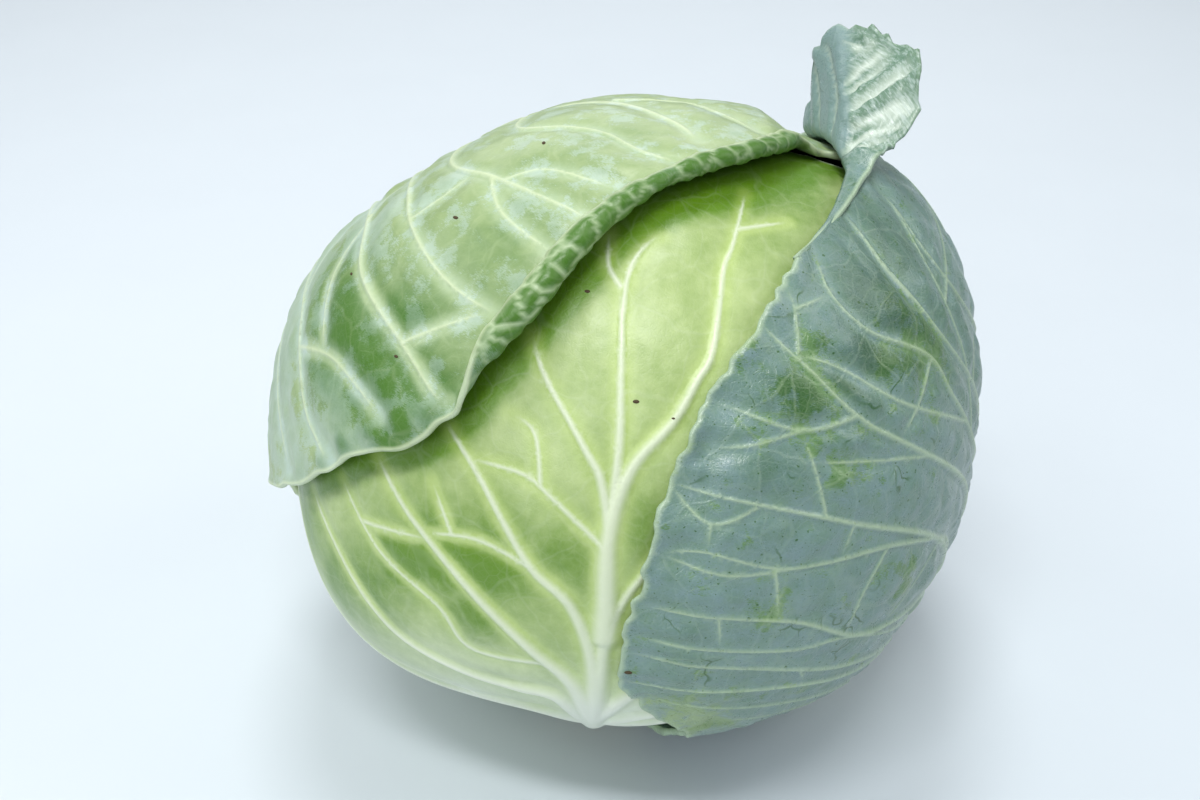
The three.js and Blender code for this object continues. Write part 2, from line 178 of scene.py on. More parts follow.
def through(points, step):
    """A smooth line through the points, with a point about every step."""
    points = np.asarray(points, float)
    ends = np.vstack([points[:1], points, points[-1:]])
    t = np.linspace(0, 1, 24, endpoint=False)[:, None]
    pieces = []
    for a, b, c, d in zip(ends, ends[1:], ends[2:], ends[3:]):
        cubic = (2 * a - 5 * b + 4 * c - d) * t ** 2 + (3 * b - a - 3 * c + d) * t ** 3
        pieces.append(b + 0.5 * ((c - a) * t + cubic))
    return evenly(np.vstack(pieces + [points[-1:]]), step)


def nearest_on(line, spots):
    """Distance from each spot to a line, and how far along it the nearest place is, from 0 to 1."""
    tree = KDTree(len(line))
    for k, (x, y) in enumerate(line.tolist()):
        tree.insert((x, y, 0), k)
    tree.balance()
    nearest = np.array([tree.find((x, y, 0))[1] for x, y in spots.tolist()], int)
    distance, share = np.full(len(spots), np.inf), np.zeros(len(spots))
    for piece in (np.maximum(nearest - 1, 0), np.minimum(nearest, len(line) - 2)):
        along = line[piece + 1] - line[piece]
        offset = spots - line[piece]
        t = np.clip((offset * along).sum(1) / ((along ** 2).sum(1) + 1e-12), 0, 1)
        gap = np.linalg.norm(offset - t[:, None] * along, axis=1)
        share = np.where(gap < distance, (piece + t) / (len(line) - 1), share)
        distance = np.minimum(distance, gap)
    return distance, share


def inside(outline, spots):
    """Which spots lie inside a closed outline."""
    result = np.zeros(len(spots), bool)
    x, y = spots.T
    for (ax, ay), (bx, by) in zip(outline, np.roll(outline, -1, axis=0)):
        crosses = (ay > y) != (by > y)
        if crosses.any():
            result ^= crosses & (x < (bx - ax) * (y - ay) / (by - ay + 1e-15) + ax)
    return result


def ripple(spots, size, seed):
    """Smooth noise from -1 to 1 whose bumps are about a size across."""
    table = np.random.default_rng(seed).uniform(-1, 1, (REPEAT, REPEAT))
    cell = np.floor(spots / size).astype(int)
    x, y = smooth(spots / size - cell).T
    i, j = cell.T % REPEAT
    next_i, next_j = (i + 1) % REPEAT, (j + 1) % REPEAT
    return lerp(lerp(table[i, j], table[next_i, j], x), lerp(table[i, next_j], table[next_i, next_j], x), y)


def net(spots, size, seed):
    """Distance to the walls of an irregular net of cells about a size across."""
    seeds = np.random.default_rng(seed).uniform(0.12, 0.88, (REPEAT, REPEAT, 2))
    bent = spots + 0.16 * size * np.column_stack([ripple(spots, size * 0.7, seed + k) for k in (1, 2)])
    place = bent / size
    cell = np.floor(place).astype(int)
    best = np.full((2, len(spots)), np.inf)
    found = np.zeros((2, len(spots), 2))
    for i in (-1, 0, 1):
        for j in (-1, 0, 1):
            other = cell + (i, j)
            centre = other + seeds[tuple(other.T % REPEAT)]
            gap = ((place - centre) ** 2).sum(1)
            closer = gap < best[0]
            second = ~closer & (gap < best[1])
            best[1][closer], found[1][closer] = best[0][closer], found[0][closer]
            best[0][closer], found[0][closer] = gap[closer], centre[closer]
            best[1][second], found[1][second] = gap[second], centre[second]
    between = np.linalg.norm(found[0] - found[1], axis=1)
    return size * (best[1] - best[0]) / (2 * between)


# ---- the head's own axes and surface ----

view_line = Vector((0, -math.cos(math.radians(LEAN_VIEW)), math.sin(math.radians(LEAN_VIEW))))
lean_right = Matrix.Rotation(-math.radians(LEAN_RIGHT), 3, view_line)
lean_back = Matrix.Rotation(-math.radians(LEAN_BACK), 3, "X")
head_turn = np.array(lean_right @ lean_back)
heart_low, heart_high = np.array(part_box("heart")) / MILLIMETRE
head_centre = np.append((heart_low[:2] + heart_high[:2]) / 2, CENTRE_HEIGHT)


def direction_at(longitude, latitude):
    """The direction of a place on the head, in the head's own axes."""
    lon, lat = np.radians(longitude), np.radians(latitude)
    return np.stack([np.sin(lon) * np.cos(lat), -np.cos(lon) * np.cos(lat), np.sin(lat)], -1)


def local_points(directions):
    """Where the head's surface lies along directions in the head's own axes."""
    across = np.hypot(directions[:, 0], directions[:, 1]) / EQUATOR_RADIUS
    along = np.abs(directions[:, 2]) / POLE_RADIUS
    rounded = (across ** SQUARENESS + along ** SQUARENESS) ** (-1 / SQUARENESS)
    for longitude, latitude, spread, height in SWELLINGS:
        angle = np.degrees(np.arccos(np.clip(directions @ direction_at(longitude, latitude), -1, 1)))
        rounded = rounded + height * np.exp(-((angle / spread) ** 2))
    down = -(directions @ head_turn.T)[:, 2]
    flat = (CENTRE_HEIGHT - REST_DEPTH) / np.maximum(down, 0.05)
    share = np.clip(0.5 + 0.5 * (flat - rounded) / REST_BLEND, 0, 1)
    radius = flat * (1 - share) + rounded * share - REST_BLEND * share * (1 - share)
    return directions * radius[:, None]


def head_surface(directions, height):
    """Points of the head's surface raised by a height, and its outward normals."""
    sideways = unit(np.cross(directions, (0.3, 0.2, 0.93)))
    forward = np.cross(directions, sideways)
    points = local_points(directions)
    a = local_points(unit(directions + 0.001 * sideways)) - points
    b = local_points(unit(directions + 0.001 * forward)) - points
    normals = unit(np.cross(a, b))
    normals *= np.sign((normals * directions).sum(1))[:, None]
    raised = points + normals * np.broadcast_to(height, len(points))[:, None]
    return raised @ head_turn.T + head_centre, normals @ head_turn.T


class Plan:
    """A leaf spread flat around a middle place on the head."""

    def __init__(self, longitude, latitude):
        lon = math.radians(longitude)
        self.middle = direction_at(longitude, latitude)
        self.east = np.array([math.cos(lon), math.sin(lon), 0])
        self.north = unit(np.cross(self.middle, self.east))
        self.north *= math.copysign(1, self.north[2])

    def to_direction(self, spots):
        """Directions in the head's own axes, for spots on the plan."""
        reach = np.maximum(np.linalg.norm(spots, axis=1), 1e-9)[:, None]
        tangent = (spots[:, :1] * self.east + spots[:, 1:] * self.north) / reach
        return self.middle * np.cos(reach / PLAN_RADIUS) + tangent * np.sin(reach / PLAN_RADIUS)

    def from_direction(self, directions):
        """Spots on the plan, for directions in the head's own axes."""
        angle = np.arccos(np.clip(directions @ self.middle, -1, 1))
        spots = np.column_stack([directions @ self.east, directions @ self.north])
        return unit(spots + 1e-12) * (PLAN_RADIUS * angle)[:, None]

    def place(self, places):
        """Spots on the plan, for places given as longitude and latitude."""
        places = np.asarray(places, float)
        return self.from_direction(direction_at(places[:, 0], places[:, 1]))

    def line(self, places, step=RIM_STEP):
        """A smooth line on the plan through places."""
        return through(self.place(places), step)


# ---- veins and the relief of a leaf ----

class Vein:
    """A rib: its line on the plan, and its widths and heights at even steps from start to end."""

    def __init__(self, line, wide, tall):
        self.line, self.wide, self.tall = line, wide, tall

    def half_width(self, share):
        return np.interp(share, np.linspace(0, 1, len(self.wide)), self.wide) / 2

    def height(self, share):
        return np.interp(share, np.linspace(0, 1, len(self.tall)), self.tall)


def vein_relief(spots, veins):
    """Height of the ribs, how much each spot is on one, and the distance to the nearest one's side."""
    height, mask = np.zeros(len(spots)), np.zeros(len(spots))
    gap = np.full(len(spots), VEIN_REACH)
    for vein in veins:
        low, high = vein.line.min(0) - VEIN_REACH, vein.line.max(0) + VEIN_REACH
        near = np.nonzero(((spots > low) & (spots < high)).all(1))[0]
        if not len(near):
            continue
        distance, share = nearest_on(vein.line, spots[near])
        half = vein.half_width(share)
        bell = 0.5 + 0.5 * np.cos(math.pi * np.clip(distance / (RIB_FOOT * half), 0, 1))
        fade = smooth((1 - share) * lengths_along(vein.line)[-1] / RIB_END)
        height[near] = np.maximum(height[near], vein.height(share) * bell * fade)
        mask[near] = np.maximum(mask[near], smooth(1.4 - distance / half, 0, 1.2) * fade)
        gap[near] = np.minimum(gap[near], np.maximum(distance - half, 0))
    return height, mask, gap


def rim_ripple(rim, seed):
    """A wave along a margin, sampled at its spots on the plan."""
    return sum(height * ripple(rim, size, seed + k) for k, (height, size) in enumerate(RIM_WAVES))


class Leaf:
    """A leaf's place, veins and strength of relief, in millimetres."""

    def __init__(self, plan, layer, veins, seed, colour, pillow=0.5, quilt=0.25, wave=0.4, cells=9,
                 frill=0.5, rise=None, covers=(), detail=None, seen=True):
        self.plan, self.layer, self.veins, self.seed = plan, layer, veins, seed
        self.pillow, self.quilt, self.wave = pillow, quilt, wave    # swelling between ribs, in cells, overall
        self.cells, self.frill = cells, frill                       # size of the cells, wave of the margin
        self.rise, self.covers, self.detail, self.colour = rise, covers, detail, colour
        self.seen = seen                                            # whether any of it shows from outside

    def bareness(self, spots):
        """1 where nothing lies over the leaf and 0 well under the leaves that cover it."""
        result = np.ones(len(spots))
        for plan, outline in self.covers:
            other = plan.from_direction(self.plan.to_direction(spots))
            depth = nearest_on(ring(outline), other)[0] * inside(outline, other)
            result *= 1 - smooth(depth, 1, 8)
        return result

    def relief(self, spots, edge, rim, tip):
        """Heights of the sheet's middle, its outer side and its inner side, and what its finish reads.
        edge is the distance to the margin, rim the nearest spot of the margin, and tip how far along the
        strip and how far out on it each spot is."""
        ridge, vein, gap = vein_relief(spots, self.veins)
        wall = net(spots, self.cells, self.seed)
        bare = self.bareness(spots)
        wave = self.wave * ripple(spots, 21, self.seed + 3) * smooth(gap, 0, 9)
        frill = self.frill * rim_ripple(rim, self.seed) * (1 - smooth(edge, 0, 10))
        pillow = self.pillow * smooth(gap, 0, 6) * (0.75 + 0.25 * ripple(spots, 13, self.seed + 4))
        quilt = self.quilt * smooth(wall, 0, 0.3 * self.cells) * smooth(gap, 0, 3)
        thick = lerp(MARGIN_THICKNESS, SHEET - 0.1, smooth(edge, 1, 18))
        values = {"vein": vein, "halo": 1 - smooth(gap, 0, 3.5), "margin": 1 - smooth(edge, 0.2, 1.2)}
        middle = (wave + frill) * bare
        if self.detail:
            middle = middle + self.detail(self, spots, edge, gap, tip, values) * bare
        outer = thick / 2 + (ridge + pillow + quilt) * bare
        return middle, outer, -thick / 2, values


# ---- making a leaf's mesh ----

def faces_front(plan, spots):
    """Which spots of a plan lie on the side of the head that faces the front or the top."""
    return plan.to_direction(spots) @ head_turn.T @ FRONT_SIDE > FRONT_LEAST


def thinned(spots, spacing):
    """The spots without those that crowd an earlier one. Each has its own spacing."""
    kept = []
    for size in np.unique(spacing):
        some = spots[spacing == size]
        first = np.unique(np.floor(some / size).astype(int), axis=0, return_index=True)[1]
        kept.append(some[np.sort(first)])
    return np.vstack(kept)


def hexagons(low, high, step):
    """An even spread of spots, each a little out of place."""
    row = 0.866 * step
    columns, rows = np.ceil((high - low) / (step, row)).astype(int) + 1
    x, y = np.meshgrid(np.arange(columns), np.arange(rows))
    spots = np.stack([low[0] + step * (x + 0.5 * (y % 2)), low[1] + row * y], -1).reshape(-1, 2)
    return spots + np.random.default_rng(7).uniform(-JITTER, JITTER, spots.shape) * step


def filling(outline, leaf):
    """Spots to fill an outline: rows that follow the veins, then an even spread between them."""
    batches = []
    for vein in leaf.veins:
        line = evenly(vein.line, FINE)
        left = sides(line)[1]
        half = vein.half_width(np.linspace(0, 1, len(line)))[:, None]
        rows = (0, 0.45, 0.9, 1.4, 1.9) if vein.wide[0] > 3 else (0, 0.8, 1.7)
        batches += [line + side * row * half * left for row in rows for side in (1, -1)]
    if leaf.seen:
        even = hexagons(outline.min(0), outline.max(0), FINE)
        batches.append(even[faces_front(leaf.plan, even)])
    batches.append(hexagons(outline.min(0), outline.max(0), COARSE))
    spots = np.vstack(batches)
    spots = spots[inside(outline, spots)]
    spots = spots[nearest_on(ring(outline), spots)[0] > 0.5 * RIM_STEP]
    return thinned(spots, np.where(faces_front(leaf.plan, spots) & leaf.seen, 0.55 * FINE, 0.6 * COARSE))


def triangles_in(outline, fill):
    """Triangles that fill an outline. They number its points first, and then the filling spots."""
    points = np.vstack([outline, fill])
    count = len(outline)
    border = [(i, (i + 1) % count) for i in range(count)]
    _, _, faces, sources, _, _ = delaunay_2d_cdt(
        [Vector(point) for point in points], border, [list(range(count))], 1, 1e-6)
    number = np.array([min(source) for source in sources])
    faces = number[np.array(faces)]
    faces = faces[inside(outline, points[faces].mean(1))]
    a, b, c = points[faces].transpose(1, 0, 2)
    turned = np.cross(b - a, c - a) < 0
    faces[turned] = faces[turned][:, ::-1]
    return faces


def grid_triangles(index):
    """Triangles of a grid, given the number of each of its points."""
    a, b, c, d = index[:-1, :-1], index[:-1, 1:], index[1:, 1:], index[1:, :-1]
    return np.vstack([np.stack([a, b, c], -1).reshape(-1, 3), np.stack([a, c, d], -1).reshape(-1, 3)])


def bend(base, normals, away, lengths, angles):
    """Walks out from each base point along a path whose angle grows, and gives the points and normals.
    lengths and angles have a row for each step past the line and a column for each base point."""
    steps = np.diff(lengths, axis=0)
    halfway = (angles[1:] + angles[:-1]) / 2
    still = np.zeros((1, len(base)))
    out = np.vstack([still, np.cumsum(np.cos(halfway) * steps, axis=0)])[..., None]
    up = np.vstack([still, np.cumsum(np.sin(halfway) * steps, axis=0)])[..., None]
    turn = angles[..., None]
    return base + out * away + up * normals, np.cos(turn) * normals - np.sin(turn) * away


class Strip:
    """The part of a leaf past the line where it leaves the head: a grid that is bent outward. Going along
    the line, the strip is on the left."""

    def __init__(self, line, outward, reach, rows, angle_at):
        self.line, self.outward, self.reach, self.columns = line, outward, reach, len(line)
        self.lengths = np.linspace(0, 1, rows + 1)[:, None] * reach
        self.angles = angle_at(self.lengths)
        self.spots = line + self.lengths[..., None] * outward
        self.places = np.stack(np.meshgrid(np.linspace(0, 1, len(line)), np.linspace(0, 1, rows + 1)), -1)

    def place(self, plan, height):
        base, normals = head_surface(plan.to_direction(self.line), height)
        away = head_surface(plan.to_direction(self.line + 0.5 * self.outward), height)[0] - base
        away = unit(away - (away * normals).sum(1)[:, None] * normals)
        return bend(base, normals, away, self.lengths, self.angles)


class Sheet:
    """One side of a leaf. Its points are the outline, the rest of the strip, and the filling."""

    def __init__(self, leaf, outline, strip, fill, outer):
        past = [strip.spots[1:].reshape(-1, 2)] if strip else []
        self.spots = np.vstack([outline, *past, fill])
        self.edge, self.rim = self.to_margin(outline, strip)
        height = leaf.layer + SHEET / 2
        if leaf.rise:
            height = height + leaf.rise(self.spots, self.edge)
        base, normals = head_surface(leaf.plan.to_direction(self.spots), height)
        count = len(outline)
        self.faces = triangles_in(outline, fill)
        tip = np.zeros((len(self.spots), 2))
        if strip:
            columns = strip.columns
            tip[:columns, 0] = np.linspace(0, 1, columns)
            tip[count:count + strip.spots[1:].size // 2] = strip.places[1:].reshape(-1, 2)
            shared = count + strip.spots[1:].size // 2
            index = np.concatenate([np.arange(columns), np.arange(count, shared)]).reshape(-1, columns)
            base[index], normals[index] = strip.place(leaf.plan, height[:columns] if leaf.rise else height)
            self.faces = np.where(self.faces >= count, self.faces + shared - count, self.faces)
            self.faces = np.vstack([self.faces, grid_triangles(index)])
        middle, over, under, self.values = leaf.relief(self.spots, self.edge, self.rim, tip)
        self.values.update(leaf.colour(leaf, self.spots, self.values))
        self.normals = normals
        self.points = base + normals * (middle + (over if outer else under))[:, None]

    def to_margin(self, outline, strip):
        """Distance of each spot to the leaf's margin, and the nearest spot of the margin."""
        first = strip.columns - 1 if strip else 0
        margin = np.vstack([outline[first:], outline[:1]])
        edge, share = nearest_on(margin, self.spots)
        rim = np.column_stack([np.interp(share, np.linspace(0, 1, len(margin)), k) for k in margin.T])
        if strip:
            gap, share = nearest_on(strip.line, self.spots)
            at = np.linspace(0, 1, strip.columns)
            beyond = gap + np.interp(share, at, strip.reach)
            count, extra = len(outline), strip.spots[1:].size // 2
            tip = slice(count, count + extra)
            beyond[tip] = (strip.reach - strip.lengths[1:]).ravel()
            edge[tip] = np.inf
            far = np.column_stack([np.interp(share, at, k) for k in strip.spots[-1].T])
            far[tip] = np.broadcast_to(strip.spots[-1], strip.spots[1:].shape).reshape(-1, 2)
            closer = beyond < edge
            edge, rim = np.where(closer, beyond, edge), np.where(closer[:, None], far, rim)
        return edge, rim


def rim_edges(faces):
    """Edges that only one triangle uses, in that triangle's direction."""
    edges = np.vstack([faces[:, [0, 1]], faces[:, [1, 2]], faces[:, [2, 0]]])
    size = edges.max() + 1
    forward, backward = edges[:, 0] * size + edges[:, 1], edges[:, 1] * size + edges[:, 0]
    return edges[~np.isin(forward, backward)]


def leaf_piece(name, leaf, outline, strip=None):
    """The whole leaf as one closed piece: two sides joined by a rounded rim."""
    fill = filling(outline, leaf)
    close = nearest_on(ring(outline), fill)[0] < RIM_BAND
    lining = thinned(fill, np.where(close & faces_front(leaf.plan, fill), LINING_AT_RIM, LINING))
    outer = Sheet(leaf, outline, strip, fill, True)
    inner = Sheet(leaf, outline, strip, lining, False)

    start, end = rim_edges(outer.faces).T
    rim = np.unique(start)
    away = np.zeros_like(outer.points)
    sideways = np.cross(outer.points[end] - outer.points[start], outer.normals[start])
    np.add.at(away, start, sideways)
    np.add.at(away, end, sideways)
    middle = (outer.points[rim] + inner.points[rim]) / 2 + RIM_BULGE * unit(away[rim])

    first_inner = len(outer.points)
    number = np.zeros(len(outer.points), int)
    number[rim] = first_inner + len(inner.points) + np.arange(len(rim))
    start_middle, end_middle = number[start], number[end]
    start_inner, end_inner = start + first_inner, end + first_inner
    corners = ((end, start, start_middle), (end, start_middle, end_middle),
               (end_middle, start_middle, start_inner), (end_middle, start_inner, end_inner))
    band = [np.stack(face, -1) for face in corners]
    points = np.vstack([outer.points, inner.points, middle])
    points[:, 2] = np.maximum(points[:, 2], 0)
    faces = np.vstack([outer.faces, inner.faces[:, ::-1] + first_inner] + band)
    spots = np.vstack([outer.spots, inner.spots, outer.spots[rim]])
    values = {key: np.concatenate([value, inner.values[key], value[rim]])
              for key, value in outer.values.items()}
    return make_piece(name, points, faces, spots, values)


def make_piece(name, points, faces, spots, values):
    """An object in metres, with its plan as a UV map and the values that its finish reads as attributes."""
    used = np.unique(faces)
    number = np.zeros(len(points), int)
    number[used] = np.arange(len(used))
    mesh = bpy.data.meshes.new(name)
    mesh.from_pydata((points[used] * MILLIMETRE).tolist(), [], number[faces].tolist())
    for key, value in values.items():
        mesh.attributes.new(key, "FLOAT", "POINT").data.foreach_set("value", value[used].astype(np.float32))
    corners = np.empty(len(mesh.loops), np.int32)
    mesh.loops.foreach_get("vertex_index", corners)
    flat = mesh.uv_layers.new(name="plan")
    flat.data.foreach_set("uv", (spots[used][corners] / PLAN_UNIT).astype(np.float32).ravel())
    mesh.shade_smooth()
    piece = bpy.data.objects.new(name, mesh)
    bpy.context.collection.objects.link(piece)
    return piece


# ---- outlines shared between leaves ----

def base_places(midrib):
    """The bottom of a leaf, an arc around the stump centred on the midrib."""
    return [(midrib + share * BASE_HALF_WIDTH, BASE_LATITUDE) for share in (-1, -0.5, 0, 0.5, 1)]


def joined(*lines):
    """One closed outline from lines that follow each other."""
    return np.vstack([line[:-1] for line in lines])


def frayed(line, size, depth, seed):
    """The same line with small scallops across it, none at its ends."""
    fade = smooth(np.minimum(lengths_along(line), lengths_along(line[::-1])[::-1]), 0, 6)
    return line + sides(line)[1] * (depth * ripple(line, size, seed) * fade)[:, None]


def moved_aside(line, depth):
    """The same line moved towards its left, and less and less over its second half."""
    fade = smooth(np.linspace(1, 0, len(line)), 0, 0.5)
    return evenly(line + sides(line)[1] * (depth * fade)[:, None], RIM_STEP)


def places_of(plan, spots):
    """Longitude and latitude of spots, with the longitude from -180 to 180."""
    x, y, z = plan.to_direction(spots).T
    return np.degrees(np.arctan2(x, -y)), np.degrees(np.arcsin(np.clip(z, -1, 1)))


def blotches(plan, spots, centres):
    """How strongly soft blotches cover each spot. A blotch is a place, a radius in degrees and a strength."""
    longitude, latitude = places_of(plan, spots)
    result = np.zeros(len(spots))
    for lon, lat, radius, strength in centres:
        across = (longitude - lon + 180) % 360 - 180
        across = across * np.cos(np.radians(latitude))
        result = np.maximum(result, strength * np.exp(-(across ** 2 + (latitude - lat) ** 2) / radius ** 2))
    return result


def laterals(plan, rows, wide, tall):
    """Veins from (places, size) rows: size scales the usual width and height."""
    return [Vein(plan.line(places, VEIN_STEP), [w * size for w in wide], [h * size for h in tall])
            for places, size in rows]


def branches(plan, rows, wide, tall, ribs):
    """Small veins, each begun and ended on a rib where one is near."""
    known = np.vstack([rib.line for rib in ribs])
    veins = []
    for places, size in rows:
        line = plan.place(places)
        for end in (0, -1):
            gaps = np.linalg.norm(known - line[end], axis=1)
            if gaps.min() < BRANCH_GAP:
                line[end] = known[gaps.argmin()]
        veins.append(Vein(through(line, VEIN_STEP), [w * size for w in wide], [h * size for h in tall]))
        known = np.vstack([known, veins[-1].line])
    return veins


def mirrored(rows, midrib, seed):
    """The same veins on the other side of a midrib, each a little different."""
    random = np.random.default_rng(seed)
    result = []
    for places, size in rows:
        shift = random.uniform(-2.5, 2.5)
        other = [(2 * midrib - lon, lat + shift * min(1, abs(lon - midrib) / 30)) for lon, lat in places]
        result.append((other, size * random.uniform(0.85, 1.1)))
    return result


# ---- right leaf: loose, its tip raised and turned out behind the top of the head ----

right_plan = Plan(60, 5)
RIGHT_MIDRIB = 95
RIGHT_FRONT_EDGE = [
    (37, -78), (30, -62), (24, -50), (18, -42), (12, -37), (6, -32), (2.5, -27), (2, -20), (3, -10),
    (4.5, 0), (6, 8), (8.5, 15), (13, 22), (18, 29.5), (24, 36),
]
RIGHT_BACK_EDGE = [
    (153, -78), (182, -64), (197, -42), (201, -12), (198, 16), (186, 40), (162, 55), (132, 62), (104, 61),
]
# place on the fold, reach past it, rise before the flare, angle of the rise and of the flare, sideways
# turn, length of the bend
FOLD = [
    (24, 36, 0.8, 0, 150, 170, 0, 1.5), (34, 42, 2.5, 0, 150, 170, 0, 1.6),
    (44, 47.5, 4.5, 0, 150, 172, 0, 2), (52, 51, 6.5, 0, 140, 165, 0, 2.2),
    (59, 53.5, 12, 0, 115, 150, 0, 3.5), (64, 55.3, 24, 3, 95, 138, -4, 5),
    (68, 56.8, 33, 9, 86, 124, -6, 6), (72, 58, 33.5, 16, 81, 118, -4, 6),
    (76, 59.2, 32.5, 22, 77, 114, -1, 6), (81, 60.2, 29, 24, 73, 104, 2, 6),
    (86, 61, 24, 22, 70, 90, 0, 6), (91, 61.5, 15, 15, 76, 84, 0, 6),
    (97, 61.8, 9, 9, 80, 80, 4, 6), (104, 61, 2.5, 0, 60, 60, 0, 6),
]
RIGHT_LATERALS = [
    ([(94, 2), (80, 8), (63, 18), (54, 24), (48, 30), (43, 36), (40, 45)], 0.9),
    ([(93, 20), (78, 24), (66, 30), (59, 38), (59, 48)], 0.8),
    ([(94, -6), (80, 2), (66, 8), (54, 16), (48, 22), (35, 26), (29, 31), (28, 37)], 1.0),
    ([(92, -15), (69, -1), (40, 11), (31, 15), (22, 22), (16, 27)], 1.1),
    ([(91, -23), (56, -6), (33, 0), (18, 3), (11, 4), (5, 5)], 1.15),
    ([(92, -29), (65, -9), (43, -4), (23, -6), (11, -4), (5, -5)], 0.9),
    ([(92, -34), (70, -20), (53, -18), (39, -18), (25, -14), (4, -13)], 1.1),
    ([(93, -40), (72, -26), (52, -21), (37, -18), (27, -19), (4, -18)], 0.8),
    ([(93, -45), (72, -31), (52, -26), (37, -24), (22, -22), (3, -21)], 0.95),
    ([(93, -52), (78, -37), (62, -30), (38, -27), (20, -26.5), (2, -27)], 1.1),
    ([(93, -58), (76, -44), (58, -36), (38, -32), (20, -31), (7, -31)], 0.9),
    ([(94, -64), (80, -52), (60, -43), (40, -38), (22, -36)], 0.9),
]
RIGHT_BRANCHES = [
    ([(47, 26), (43, 35), (45, 45)], 0.8), ([(66, 11), (62, 20), (59, 28), (57, 37), (59, 48)], 0.9),
    ([(59, 10), (41, 16), (29, 21), (24, 25)], 0.9), ([(22, 22), (22, 29), (21, 32)], 0.8),
    ([(22, 29), (29, 31)], 0.7), ([(31, 15), (22, 13), (11, 16)], 0.9), ([(22, 13), (16, 11), (10, 10)], 0.8),
    ([(28, 4), (22, 13)], 0.8), ([(46, 8), (28, 10)], 0.7), ([(18, 3), (11, 0), (4, 1)], 0.8),
    ([(11, 0), (12, -3)], 0.6), ([(23, -6), (14, -7), (5, -9)], 0.8), ([(21, -8), (24, -13)], 0.7),
    ([(48, 22), (44, 16), (40, 11)], 0.7), ([(40, -4), (37, -11), (36, -18)], 0.7),
    ([(33, 0), (31, -5)], 0.6), ([(56, -6), (50, -13), (46, -18)], 0.8),
    ([(14, -15), (15, -19)], 0.6), ([(30, -23), (33, -27)], 0.6),
    ([(60, 30), (72, 38), (84, 44)], 0.9), ([(68, 20), (80, 30), (90, 36)], 0.8),
]
# On the raised tip a place is a longitude on the fold and a share of the way out to the rim. The crease
# parts a smooth lobe behind from the pleated fan, and is given as shares and the longitudes there.
CREASE = ((0, 0.25, 0.5, 0.75, 1), (60.5, 63.5, 71.5, 75, 77.5))
FAN_RIBS = 10
FAN_RIB_GAP = 2.05              # degrees between ribs where they reach the rim
FAN_START = 59.5                # where the first of them reaches it
FAN_SIDES = (57, 60, 79, 82)    # longitudes between which the scallops of the fan come and go
LOBE_SIDES = (62, 66, 88, 92)   # and the larger lobes of the rim
LOBE_WIDTH = 6                  # degrees
LOBE_RIBS = [(70, 84), (80, 88), (88, 93)]      # longitudes at the fold and at the rim
TIP_ROWS = 48                   # of the strip, from the fold to the rim
OVAL = (70.5, 0.86, 1.3, 0.06)      # the dark spot by the rim: its place on the tip, and its reach each way
TIP_SIDES = (54, 62, 96, 103)   # longitudes between which the tip's own relief comes and goes

right_base = right_plan.line(base_places(RIGHT_MIDRIB))
right_front = frayed(right_plan.line(RIGHT_FRONT_EDGE), 3.2, 1.1, 31)
right_back = frayed(right_plan.line(RIGHT_BACK_EDGE), 4, 1, 32)


def right_strip():
    """The raised tip, folded back along FOLD, with scallops and lobes along its rim."""
    places = [row[:2] for row in FOLD]
    columns = through(np.column_stack([right_plan.place(places), [row[2:] for row in FOLD]]), RIM_STEP)
    line = columns[:, :2]
    reach, rise, lift, flare, turn, run = columns[:, 2:].T
    along, left = sides(line)
    turn = np.radians(turn)[:, None]
    outward = left * np.cos(turn) + along * np.sin(turn)
    longitude = places_of(right_plan, line)[0]
    past_start = math.pi * (longitude - FAN_START)
    scallops = np.abs(np.sin(past_start / FAN_RIB_GAP)) * within(longitude, *FAN_SIDES)
    lobes = np.abs(np.sin(past_start / LOBE_WIDTH)) * within(longitude, *LOBE_SIDES)
    edge = 0.6 * ripple(line, 3.4, 33) + scallops + 2.2 * (lobes - 0.5)
    reach = np.maximum(reach, TIP_SHORTEST) + edge * smooth(reach, 3, 12)

    def angle_at(length):
        flared = smooth((length - np.maximum(rise, 0)) / FLARE_LENGTH)
        return np.radians(lift * smooth(length / run) + (flare - lift) * flared)

    return Strip(line, outward, reach, TIP_ROWS, angle_at)


right_tip = right_strip()
tip_longitudes = places_of(right_plan, right_tip.line)[0]
right_outline = joined(right_tip.line, right_back[::-1], right_base[::-1], right_front)


def right_rise(spots, edge):
    """The front margin comes down to the leaf below it, and its lowest corner hangs clear."""
    longitude, latitude = places_of(right_plan, spots)
    front = within(latitude, -44, -34, 14, 32) * (1 - smooth(np.abs(longitude), 40, 60))
    return -2.3 * front * (1 - smooth(edge, 1, 16))


def tip_line(start, end, first=0.0):
    """A line on the raised tip from a longitude and share of the way out to a longitude on the rim. It
    goes outward at first and then turns aside."""
    t = np.linspace(0, 1, 16)
    column = np.interp(lerp(start, end, t ** 1.6), tip_longitudes, np.arange(right_tip.columns))
    low = np.minimum(column.astype(int), right_tip.columns - 2)
    part = (column - low)[:, None]
    near, far = (lerp(line[low], line[low + 1], part) for line in (right_tip.line, right_tip.spots[-1]))
    return lerp(near, far, lerp(first, 1, t)[:, None])


